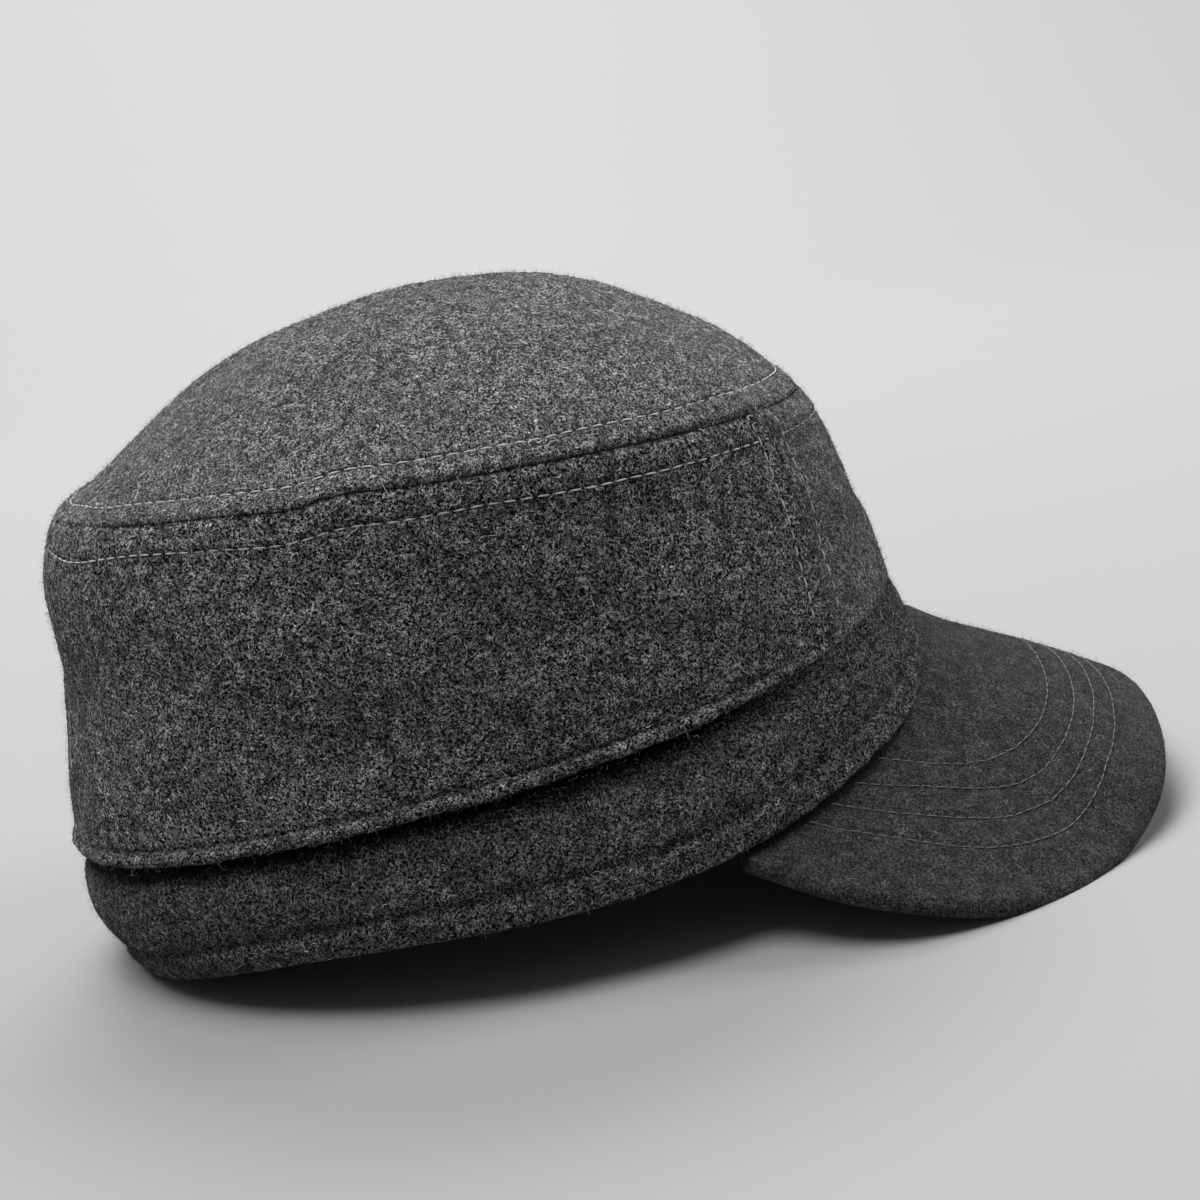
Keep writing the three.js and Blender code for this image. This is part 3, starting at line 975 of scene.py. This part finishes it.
seamTurn = math.radians(panels["seamTop"])
sideStart = seamTurn + 0.012     # the rows end a little inside the panels' own edges
sideEnd = math.pi - 0.002
frontEnd = seamTurn + 0.01
beside = panels["stitchRows"]
topRow = stitchRow(crown, *rowOnDome(cloth["allowance"], -np.pi, np.pi), cloth["stitchPitch"],
                   thread["dash"], 11)
crownStitches = stitchMesh("crown_top_stitches", [topRow])
frontStitches = panelStitches("front_panel_stitches", frontPanel, (-frontEnd, frontEnd), 12,
                              [(seamAngle, -beside, 13), (leftSeamAngle, beside, 14)])
rightStitches = panelStitches("side_panel_right_stitches", sidePanelRight, (sideStart, sideEnd), 15,
                              [(seamAngle, beside, 16)])
leftStitches = panelStitches("side_panel_left_stitches", sidePanelLeft, (-sideEnd, -sideStart), 17,
                             [(leftSeamAngle, -beside, 18)])


# Seen from above, the part of a row's oval that lies in front of the hem
def rowOnPeak(number):
    oval = peakOval(number)
    turn = np.linspace(-2.2, 2.2, 1200)
    forward = oval["middle"] + oval["forward"] * signedPower(np.cos(turn), 2 / oval["power"])
    side = oval["side"] * signedPower(np.sin(turn), 2 / oval["power"])
    ring = ringPoint(capLines["rim"], np.linspace(-1.3, 1.3, 400))
    rimReach = np.interp(side, ring[::-1, 0], -ring[::-1, 1])
    clear = forward > rimReach + thread["hemClear"]
    return np.stack([side, -forward, np.zeros_like(side)], -1)[clear]


def seatedFromAbove(piece, points):
    tree = treeOf(piece)
    above, reach = 60, 80
    found = []
    for point in points:
        start = Vector((point[0], point[1] + shiftBack, above)) * metresPerMillimetre
        location, normal = tree.ray_cast(start, Vector((0, 0, -1)), reach * metresPerMillimetre)[:2]
        found.append(None if location is None else (np.array(location), np.array(normal)))
    return found


peakStitchRows = []
for number in range(peak["rows"]):
    random = np.random.default_rng(30 + number)
    points = evenStitches(rowOnPeak(number), peak["stitchPitch"])
    wandering = thread["peakWander"]
    drift = np.cumsum(random.normal(0, wandering["step"], (len(points), 2)), axis=0)
    points[:, :2] += np.clip(drift, -wandering["most"], wandering["most"])
    peakStitchRows.append({"places": seatedFromAbove(peakPiece, points),
                           "dash": peak["stitchPitch"] * thread["peakDash"]})
peakStitches = stitchMesh("peak_stitches", peakStitchRows)
allStitches = (crownStitches, frontStitches, rightStitches, leftStitches, peakStitches)
print("stitches:", sum(len(stitches.data.polygons) for stitches in allStitches), "faces")

# Nap: wool fibres lying on the felted face, as thin ribbons: short straight ones that make the
# grain, curled ones, short ones that stand off the cloth, and a few long stray hairs. Real fibres
# are finer; these are as wide as they need to be to show.
nap = {
    "short": {"perSquareMillimetre": 2.05, "lengths": (0.4, 1.1), "width": 0.17, "lift": 0.12,
              "curl": 0.0, "stations": 2},
    "curled": {"perSquareMillimetre": 0.12, "lengths": (0.9, 2.0), "width": 0.15, "lift": 0.25,
               "curl": 0.35, "stations": 4},
    "standing": {"perSquareMillimetre": 0.56, "lengths": (0.4, 1.1), "width": 0.065, "lift": 1.4,
                 "curl": 0.0, "stations": 2},
    "stray": {"perSquareMillimetre": 0.006, "lengths": (3.0, 7.0), "width": 0.11, "lift": 0.5,
              "curl": 0.25, "stations": 9},
}
fibre = {
    "swirl": 0.6,                # of the curl
    "lifts": (0.3, 1),           # of the kind's own lift
    "bow": (0.15, 0.9),          # of half a turn, so that both ends of a lying fibre go down
    "twist": 0.7,                # radians about its length, either way
    "widths": (0.55, 1.15),
    "taper": {"places": [0, 0.3, 0.75, 1], "shares": [0.75, 1.0, 0.9, 0.35]},
}
undersideNap = 0.3               # of the nap above, on faces that look down more than this
undersideSlope = -0.2
pressedNap = 0.35                # of the nap beside it, in the creases
middleHeight = 55                # the cap's outer faces look away from a point at this height


def trianglesOf(piece):
    mesh = piece.data
    mesh.calc_loop_triangles()
    corners = np.empty(len(mesh.loop_triangles) * 3, int)
    mesh.loop_triangles.foreach_get("vertices", corners)
    points = np.empty(len(mesh.vertices) * 3)
    mesh.vertices.foreach_get("co", points)
    paintedShade = np.empty(len(mesh.vertices))
    mesh.attributes["paintedShade"].data.foreach_get("value", paintedShade)
    corners = corners.reshape(-1, 3)
    return points.reshape(-1, 3)[corners], paintedShade[corners].mean(1)


# Strips of quads through rows of stations, with a shade for each fibre
def ribbonMesh(name, strips):
    pointBlocks, quadBlocks, shadeBlocks, base = [], [], [], 0
    for stations, sides, shades in strips:
        count, steps = stations.shape[:2]
        pointBlocks.append(np.stack([stations - sides, stations + sides], 2).reshape(-1, 3))
        first = base + (np.arange(count) * steps * 2)[:, None, None]
        step = (np.arange(steps - 1) * 2)[None, :, None]
        quadBlocks.append((first + step + np.array([0, 1, 3, 2])).reshape(-1, 4))
        shadeBlocks.append(np.repeat(shades, steps * 2))
        base += count * steps * 2
    points, quads, shades = (np.concatenate(blocks) for blocks in (pointBlocks, quadBlocks, shadeBlocks))
    points[:, 2] = np.maximum(points[:, 2], 0)
    mesh = bpy.data.meshes.new(name)
    mesh.vertices.add(len(points))
    mesh.vertices.foreach_set("co", points.ravel())
    mesh.loops.add(quads.size)
    mesh.loops.foreach_set("vertex_index", quads.ravel())
    mesh.polygons.add(len(quads))
    mesh.polygons.foreach_set("loop_start", np.arange(len(quads)) * 4)
    mesh.polygons.foreach_set("use_smooth", np.ones(len(quads), bool))
    mesh.update(calc_edges=True)
    mesh.attributes.new("shade", "FLOAT", "POINT").data.foreach_set("value", shades.astype(np.float32))
    return addObject(name, mesh)


# Fibres rooted on the cloth: those that lie rise in a bow, those that stand rise straight
def fibreStrip(random, roots, normals, kind):
    count = len(roots)
    way = unit(np.cross(normals, random.normal(size=(count, 3))))
    side = np.cross(normals, way)
    length = random.uniform(*kind["lengths"], (count, 1)) * metresPerMillimetre
    bend = random.normal(0, kind["curl"], (count, 1)) * length
    swirl = random.normal(0, kind["curl"] * fibre["swirl"], (count, 1)) * length
    height = kind["lift"] * random.uniform(*fibre["lifts"], (count, 1)) * metresPerMillimetre
    share = np.linspace(0, 1, kind["stations"])[None, :, None]
    if kind is nap["standing"]:
        rise = share
    else:
        rise = np.sin(np.pi * mixed(*fibre["bow"], share))
    stations = roots[:, None] + way[:, None] * length[:, None] * (share - 0.5)
    stations = stations + side[:, None] * bend[:, None] * np.sin(np.pi * share)
    stations = stations + side[:, None] * swirl[:, None] * np.sin(2 * np.pi * share)
    stations = stations + normals[:, None] * height[:, None] * rise
    twist = random.uniform(-fibre["twist"], fibre["twist"], (count, 1))
    across = side * np.cos(twist) + normals * np.sin(twist)
    half = kind["width"] / 2 * metresPerMillimetre * random.uniform(*fibre["widths"], (count, 1))
    taper = np.interp(share, fibre["taper"]["places"], fibre["taper"]["shares"])
    return stations, across[:, None] * half[:, None] * taper, random.random(count)


def scatter(random, triangles, normals, weight, count):
    chosen = random.choice(len(triangles), count, p=weight / weight.sum())
    a, b = random.random((2, count, 1))
    flip = (a + b) > 1
    a, b = np.where(flip, 1 - a, a), np.where(flip, 1 - b, b)
    corner = triangles[chosen]
    roots = corner[:, 0] + a * (corner[:, 1] - corner[:, 0]) + b * (corner[:, 2] - corner[:, 0])
    return roots, normals[chosen]


def napOn(piece, name, seed, bothFaces=False, density=1.0):
    random = np.random.default_rng(seed)
    triangles, paintedShade = trianglesOf(piece)
    cross = np.cross(triangles[:, 1] - triangles[:, 0], triangles[:, 2] - triangles[:, 0])
    weight = np.linalg.norm(cross, axis=1) / 2
    normals = unit(cross)
    capMiddle = np.array([0, shiftBack, middleHeight]) * metresPerMillimetre
    if bothFaces:
        weight[normals[:, 2] < undersideSlope] *= undersideNap
    else:
        weight[np.sum(normals * (triangles.mean(1) - capMiddle), 1) <= 0] = 0
    squareMillimetres = weight.sum() / metresPerMillimetre ** 2
    weight = weight * mixed(1, pressedNap, np.minimum(paintedShade, 1))
    strips = []
    for kind in nap.values():
        count = int(squareMillimetres * kind["perSquareMillimetre"] * density)
        strips.append(fibreStrip(random, *scatter(random, triangles, normals, weight, count), kind))
    return ribbonMesh(name, strips)


crownNap = napOn(crown, "crown_top_nap", 41)
frontNap = napOn(frontPanel, "front_panel_nap", 42)
rightNap = napOn(sidePanelRight, "side_panel_right_nap", 43)
leftNap = napOn(sidePanelLeft, "side_panel_left_nap", 44)
hemNap = napOn(bandPiece, "band_nap", 45, density=0.9)
quiltNap = napOn(peakPiece, "peak_nap", 46, bothFaces=True, density=0.85)
for piece in (crownNap, frontNap, rightNap, leftNap, hemNap, quiltNap):
    print("nap:", piece.name, len(piece.data.polygons) * 2, "triangles")


# Materials
def linearColour(code):
    channels = [int(code[place:place + 2], 16) / 255 for place in (1, 3, 5)]
    linear = [value / 12.92 if value <= 0.04045 else ((value + 0.055) / 1.055) ** 2.4 for value in channels]
    return linear + [1.0]


# Adds a node and gives one of its outputs; an input is a value, or another node's output to link
def addNode(material, kind, settings=None, inputs=None, output=0):
    node = material.node_tree.nodes.new(kind)
    for name, value in (settings or {}).items():
        setattr(node, name, value)
    for socket, value in (inputs or {}).items():
        if isinstance(value, bpy.types.NodeSocket):
            material.node_tree.links.new(value, node.inputs[socket])
        else:
            node.inputs[socket].default_value = value
    return node.outputs[output] if node.outputs else None


def perMillimetre(size):
    return 1 / (size * metresPerMillimetre)


def newMaterial(name):
    material = bpy.data.materials.new(name)
    material.use_nodes = True
    material.node_tree.nodes.clear()
    return material


# Melton: heavy wool woven, fulled and raised, so no weave shows. Dark and pale fibres dyed before
# spinning lie felted together, which gives a matt, grainy charcoal that pales at a glancing view.
# Sizes are those of the grain, of single curled fibres, of the gaps that break them up, of the
# mottling and of the faint tints, in millimetres; a range is where a pattern turns from 0 to 1.
woolPatterns = {
    "grain": {"size": 0.42, "detail": 1.0, "distortion": 0.4, "shift": 0.0},
    "shortCurls": {"size": 0.58, "detail": 1.0, "distortion": 1.2, "shift": 0.3},
    "shortGaps": {"size": 0.6, "detail": 1.0, "distortion": 0.0, "shift": 0.3, "range": (0.45, 0.55)},
    "longCurls": {"size": 0.75, "detail": 1.0, "distortion": 1.2, "shift": 0.7},
    "longGaps": {"size": 0.6, "detail": 1.0, "distortion": 0.0, "shift": 0.7, "range": (0.45, 0.55)},
    "mottle": {"size": 3.2, "detail": 2.0, "distortion": 0.0, "shift": 0.5, "range": (0.36, 0.64)},
    "tint": {"size": 22, "detail": 2.0, "distortion": 0.0, "shift": 0.9, "range": (0.35, 0.65)},
}
curlWidth = (0.01, 0.05)         # a curled fibre lies where its noise is this near its middle


def meltonWool(name, look):
    material = newMaterial(name)
    colours = {key: linearColour(look[key]) for key in ("dark", "mid", "pale", "dim", "cool", "warm")}
    place = addNode(material, "ShaderNodeTexCoord", output="Object")
    smooth = {"interpolation_type": "SMOOTHSTEP"}
    noises, shares = {}, {}
    for part, pattern in woolPatterns.items():
        shift = pattern["shift"]
        moved = addNode(material, "ShaderNodeMapping", {}, {
            "Vector": place, "Location": (shift, shift, shift), "Rotation": (shift, 2 * shift, 0)})
        noises[part] = addNode(material, "ShaderNodeTexNoise", {}, {
            "Vector": moved, "Scale": perMillimetre(pattern["size"]), "Detail": pattern["detail"],
            "Roughness": 0.6, "Distortion": pattern["distortion"]}, "Fac")
    ranges = {part: pattern["range"] for part, pattern in woolPatterns.items() if "range" in pattern}
    ranges["grain"] = (0.5 - look["contrast"], 0.5 + look["contrast"])
    for part, (low, high) in ranges.items():
        shares[part] = addNode(material, "ShaderNodeMapRange", smooth, {
            "Value": noises[part], "From Min": low, "From Max": high,
            "To Min": 0.0, "To Max": 1.0}, "Result")
    curls = []
    for curl, gap in (("shortCurls", "shortGaps"), ("longCurls", "longGaps")):
        above = addNode(material, "ShaderNodeMath", {"operation": "SUBTRACT"}, {0: noises[curl], 1: 0.5})
        fromMiddle = addNode(material, "ShaderNodeMath", {"operation": "ABSOLUTE"}, {0: above})
        line = addNode(material, "ShaderNodeMapRange", smooth, {
            "Value": fromMiddle, "From Min": curlWidth[0], "From Max": curlWidth[1],
            "To Min": 1.0, "To Max": 0.0}, "Result")
        broken = {0: line, 1: shares[gap]}
        curls.append(addNode(material, "ShaderNodeMath", {"operation": "MULTIPLY"}, broken))
    fibres = addNode(material, "ShaderNodeMath", {"operation": "MAXIMUM"}, dict(enumerate(curls)))
    paintedShade = addNode(material, "ShaderNodeAttribute", {"attribute_name": "paintedShade"}, output="Fac")

    mix = {"data_type": "RGBA"}
    multiply = {"data_type": "RGBA", "blend_type": "MULTIPLY"}
    mottle = addNode(material, "ShaderNodeMix", mix, {
        0: shares["mottle"], 6: colours["dim"], 7: linearColour("#ffffff")}, 2)
    tint = addNode(material, "ShaderNodeMix", mix, {
        0: shares["tint"], 6: colours["cool"], 7: colours["warm"]}, 2)
    base = addNode(material, "ShaderNodeMix", mix, {
        0: shares["grain"], 6: colours["dark"], 7: colours["mid"]}, 2)
    base = addNode(material, "ShaderNodeMix", mix, {0: fibres, 6: base, 7: colours["pale"]}, 2)
    base = addNode(material, "ShaderNodeMix", multiply, {0: 1.0, 6: base, 7: mottle}, 2)
    base = addNode(material, "ShaderNodeMix", multiply, {0: 1.0, 6: base, 7: tint}, 2)
    # painted shade: where the shade attribute is high the cloth goes to its dark colour
    base = addNode(material, "ShaderNodeMix", mix, {0: paintedShade, 6: base, 7: colours["dark"]}, 2)
    height = addNode(material, "ShaderNodeMath", {"operation": "ADD"}, {0: noises["grain"], 1: fibres})
    relief = addNode(material, "ShaderNodeBump", {}, {
        "Height": height, "Strength": 0.8, "Distance": 0.6 * metresPerMillimetre})
    surface = addNode(material, "ShaderNodeBsdfPrincipled", {}, {
        "Base Color": base, "Normal": relief, "Roughness": 0.95, "Specular IOR Level": 0.05,
        "Sheen Weight": look["sheen"], "Sheen Roughness": 0.35, "Sheen Tint": linearColour("#a9aaa8")})
    addNode(material, "ShaderNodeOutputMaterial", {}, {"Surface": surface})
    return material


# Loose wool hairs on the face of the cloth: each one has its own dye, from near black to pale grey,
# and they darken and pale in patches, in millimetres
woolPatches = [{"size": 3.2, "darkest": 0.6, "palest": 1.1}, {"size": 15, "darkest": 0.84, "palest": 1.16}]


def woolFibre(name, look):
    material = newMaterial(name)
    shade = addNode(material, "ShaderNodeAttribute", {"attribute_name": "shade"}, output="Fac")
    dye = addNode(material, "ShaderNodeValToRGB", {}, {"Fac": shade}, "Color")
    elements = dye.node.color_ramp.elements
    elements[0].position, elements[0].color = 0.0, linearColour(look["dark"])
    elements[1].position, elements[1].color = 1.0, linearColour(look["pale"])
    for position, colour in ((0.58, look["charcoal"]), (0.8, look["grey"])):
        element = elements.new(position)
        element.color = linearColour(colour)
    place = addNode(material, "ShaderNodeTexCoord", output="Object")
    shares = []
    for patch in woolPatches:
        noise = addNode(material, "ShaderNodeTexNoise", {}, {
            "Vector": place, "Scale": perMillimetre(patch["size"]), "Detail": 2.0}, "Fac")
        shares.append(addNode(material, "ShaderNodeMapRange", {}, {
            "Value": noise, "From Min": 0.36, "From Max": 0.64,
            "To Min": patch["darkest"], "To Max": patch["palest"]}, "Result"))
    mottle = addNode(material, "ShaderNodeMath", {"operation": "MULTIPLY"}, dict(enumerate(shares)))
    colour = addNode(material, "ShaderNodeVectorMath", {"operation": "SCALE"}, {
        "Vector": dye, "Scale": mottle})
    surface = addNode(material, "ShaderNodeBsdfPrincipled", {}, {
        "Base Color": colour, "Roughness": 0.8, "Specular IOR Level": look["gloss"]})
    addNode(material, "ShaderNodeOutputMaterial", {}, {"Surface": surface})
    return material


# Spun polyester sewing thread, a little paler than the cloth, with a soft gloss along its twist
def sewingThread(name, look):
    material = newMaterial(name)
    place = addNode(material, "ShaderNodeTexCoord", output="Object")
    twist = addNode(material, "ShaderNodeTexNoise", {}, {
        "Vector": place, "Scale": perMillimetre(1.6), "Detail": 2.0}, "Fac")
    base = addNode(material, "ShaderNodeMix", {"data_type": "RGBA"}, {
        0: twist, 6: linearColour(look["dark"]), 7: linearColour(look["pale"])}, 2)
    surface = addNode(material, "ShaderNodeBsdfPrincipled", {}, {
        "Base Color": base, "Roughness": 0.6, "Specular IOR Level": 0.35})
    addNode(material, "ShaderNodeOutputMaterial", {}, {"Surface": surface})
    return material


# The crown's and the front's nap stands up and catches light, so their cloth has more sheen. On the sides
# and the band the same cloth has less sheen and darker middle shades, which is painted shade; on the peak
# it is worn short and even.
wool = meltonWool("charcoal_wool_melton", {
    "dark": "#030304", "mid": "#353637", "pale": "#eeefee", "dim": "#b6b7b9",
    "cool": "#eef0f4", "warm": "#fffdf9", "contrast": 0.05, "sheen": 0.3})
# painted shade: the sides' and the band's cloth is the crown's wool with darker middle shades
shadedSideWool = meltonWool("side_wool_melton_painted_shade", {
    "dark": "#010101", "mid": "#1d1e1f", "pale": "#f4f5f4", "dim": "#acadaf",
    "cool": "#eef0f4", "warm": "#fffdf9", "contrast": 0.04, "sheen": 0.02})
shadedBandWool = meltonWool("band_wool_melton_painted_shade", {
    "dark": "#010101", "mid": "#1f2021", "pale": "#c6c8c7", "dim": "#b2b3b5",
    "cool": "#eef0f4", "warm": "#fffdf9", "contrast": 0.04, "sheen": 0.02})
peakWool = meltonWool("peak_wool_melton", {
    "dark": "#131313", "mid": "#323231", "pale": "#727270", "dim": "#b6b6b6",
    "cool": "#f4f5f6", "warm": "#fffdf9", "contrast": 0.12, "sheen": 0.3})
wallNap = woolFibre("charcoal_wool_fibre", {
    "dark": "#030304", "charcoal": "#2a2b2c", "grey": "#989999", "pale": "#ecedea", "gloss": 0.2})
# painted shade: the sides' and the band's nap is the crown's nap with darker middle shades
shadedSideNap = woolFibre("side_wool_fibre_painted_shade", {
    "dark": "#010101", "charcoal": "#131415", "grey": "#9c9d9d", "pale": "#fbfcf9", "gloss": 0.03})
shadedBandNap = woolFibre("band_wool_fibre_painted_shade", {
    "dark": "#030304", "charcoal": "#1d1e1f", "grey": "#868787", "pale": "#d2d3d1", "gloss": 0.03})
peakNap = woolFibre("peak_wool_fibre", {
    "dark": "#191919", "charcoal": "#343433", "grey": "#575755", "pale": "#82827e", "gloss": 0.2})
greyThread = sewingThread("grey_polyester_thread", {"dark": "#8c8c8a", "pale": "#dddcd8"})
peakThread = sewingThread("dull_grey_thread", {"dark": "#40403e", "pale": "#686865"})

finishes = [
    (crown, wool, "wool_cloth", "crown_top"),
    (frontPanel, wool, "wool_cloth", "front_panel"),
    (sidePanelRight, shadedSideWool, "wool_cloth", "side_panel_right"),
    (sidePanelLeft, shadedSideWool, "wool_cloth", "side_panel_left"),
    (bandPiece, shadedBandWool, "wool_cloth", "band"),
    (peakPiece, peakWool, "peak_cloth", "peak"),
    (crownNap, wallNap, "wool_cloth", None),
    (frontNap, wallNap, "wool_cloth", None),
    (rightNap, shadedSideNap, "wool_cloth", None),
    (leftNap, shadedSideNap, "wool_cloth", None),
    (hemNap, shadedBandNap, "wool_cloth", None),
    (quiltNap, peakNap, "peak_cloth", None),
    (crownStitches, greyThread, "thread", None),
    (frontStitches, greyThread, "thread", None),
    (rightStitches, greyThread, "thread", None),
    (leftStitches, greyThread, "thread", None),
    (peakStitches, peakThread, "thread", None),
]
for piece, material, slotName, node in finishes:
    piece.data.materials.append(material)
    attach(piece, "root")
    if node:
        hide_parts(node)
print("materials done")

# Studio: a pale floor that slopes up all round, and three softboxes: over the cap, over the floor on
# its far side, and a weak one in front of the peak
studio = {
    "flatRadius": 1.3,
    "curveRadius": 1.6,
    "slope": 40,                 # degrees
    "outerRadius": 3.2,
    "floorColour": "#959697",
    "roomColour": "#f2f3f5",
    "roomStrength": 0.22,
}
lights = [
    {"name": "top_softbox", "place": (-0.3, 0.58, 2.05), "aim": (0, 0, 0.1), "size": 1.5, "power": 51},
    {"name": "back_softbox", "place": (1.5, 0.0, 2.0), "aim": (1.9, 0, 0), "size": 1.6, "power": 74},
    {"name": "front_softbox", "place": (0.15, -1.35, 0.9), "aim": (0, 0, 0.08), "size": 0.8, "power": 11},
]


def studioBowl():
    bm = bmesh.new()
    slope = math.radians(studio["slope"])
    profile = [(0, 0)]
    for turn in np.linspace(0, slope, 13):
        radius = studio["flatRadius"] + studio["curveRadius"] * math.sin(turn)
        height = studio["curveRadius"] * (1 - math.cos(turn))
        profile.append((radius, height))
    profile.append((studio["outerRadius"], height + (studio["outerRadius"] - radius) * math.tan(slope)))
    vertices = [bm.verts.new((radius, 0, height)) for radius, height in profile]
    edges = [bm.edges.new(pair) for pair in zip(vertices[:-1], vertices[1:])]
    bmesh.ops.spin(bm, geom=vertices + edges, cent=(0, 0, 0), axis=(0, 0, 1), angle=2 * math.pi, steps=96,
                   use_merge=True)
    bmesh.ops.remove_doubles(bm, verts=bm.verts, dist=1e-5)
    bmesh.ops.recalc_face_normals(bm, faces=bm.faces)
    for face in bm.faces:
        face.smooth = True
    mesh = bpy.data.meshes.new("studio_floor")
    bm.to_mesh(mesh)
    bm.free()
    material = newMaterial("matt_paper")
    surface = addNode(material, "ShaderNodeBsdfPrincipled", {}, {
        "Base Color": linearColour(studio["floorColour"]), "Roughness": 0.9, "Specular IOR Level": 0.1})
    addNode(material, "ShaderNodeOutputMaterial", {}, {"Surface": surface})
    mesh.materials.append(material)
    addObject("studio_floor", mesh)


studioBowl()
for light in lights:
    data = bpy.data.lights.new(light["name"], "AREA")
    data.shape = "DISK"
    data.size = light["size"]
    data.energy = light["power"]
    lamp = addObject(light["name"], data)
    lamp.location = light["place"]
    way = Vector(light["aim"]) - Vector(light["place"])
    lamp.rotation_euler = way.to_track_quat("-Z", "Y").to_euler()

world = bpy.data.worlds.new("soft_room")
world.use_nodes = True
background = world.node_tree.nodes["Background"]
background.inputs["Color"].default_value = linearColour(studio["roomColour"])
background.inputs["Strength"].default_value = studio["roomStrength"]
bpy.context.scene.world = world
bpy.context.scene.view_settings.view_transform = "Standard"

# Camera at the photograph's angle: from the wearer's right, a little above, rolled
photo = {
    "size": 1200,                # pixels
    "elevation": 15.0,
    "yaw": 0.2,
    "roll": -10.7,
    "distance": 515,
    "aimHeight": 46.3,
    "aimPixel": (481.9, 693.1),  # where the point over the rings' zero lands
    "focalPixels": 2095,
    "sensor": 36,
}


def setCamera():
    elevation, yaw, roll = (math.radians(photo[key]) for key in ("elevation", "yaw", "roll"))
    ahead = Vector((math.cos(elevation) * math.cos(yaw), math.cos(elevation) * math.sin(yaw),
                    -math.sin(elevation)))
    right = ahead.cross(Vector((0, 0, 1))).normalized()
    upright = right.cross(ahead)
    rolledRight = math.cos(roll) * right + math.sin(roll) * upright
    rolledUp = math.cos(roll) * upright - math.sin(roll) * right
    centre = photo["size"] / 2
    aim = ahead + (centre - photo["aimPixel"][0]) / photo["focalPixels"] * rolledRight
    aim = (aim - (centre - photo["aimPixel"][1]) / photo["focalPixels"] * rolledUp).normalized()
    aimRight = aim.cross(rolledUp).normalized()
    aimUp = aimRight.cross(aim)
    target = Vector((0, shiftBack, photo["aimHeight"]))
    data = bpy.data.cameras.new("photo_camera")
    data.sensor_width = photo["sensor"]
    data.lens = photo["focalPixels"] / photo["size"] * photo["sensor"]
    data.clip_start = 0.01
    camera = addObject("photo_camera", data)
    place = (target - ahead * photo["distance"]) * metresPerMillimetre
    axes = Matrix((aimRight, aimUp, -aim)).transposed()
    camera.matrix_world = Matrix.Translation(place) @ axes.to_4x4()
    bpy.context.scene.camera = camera


setCamera()
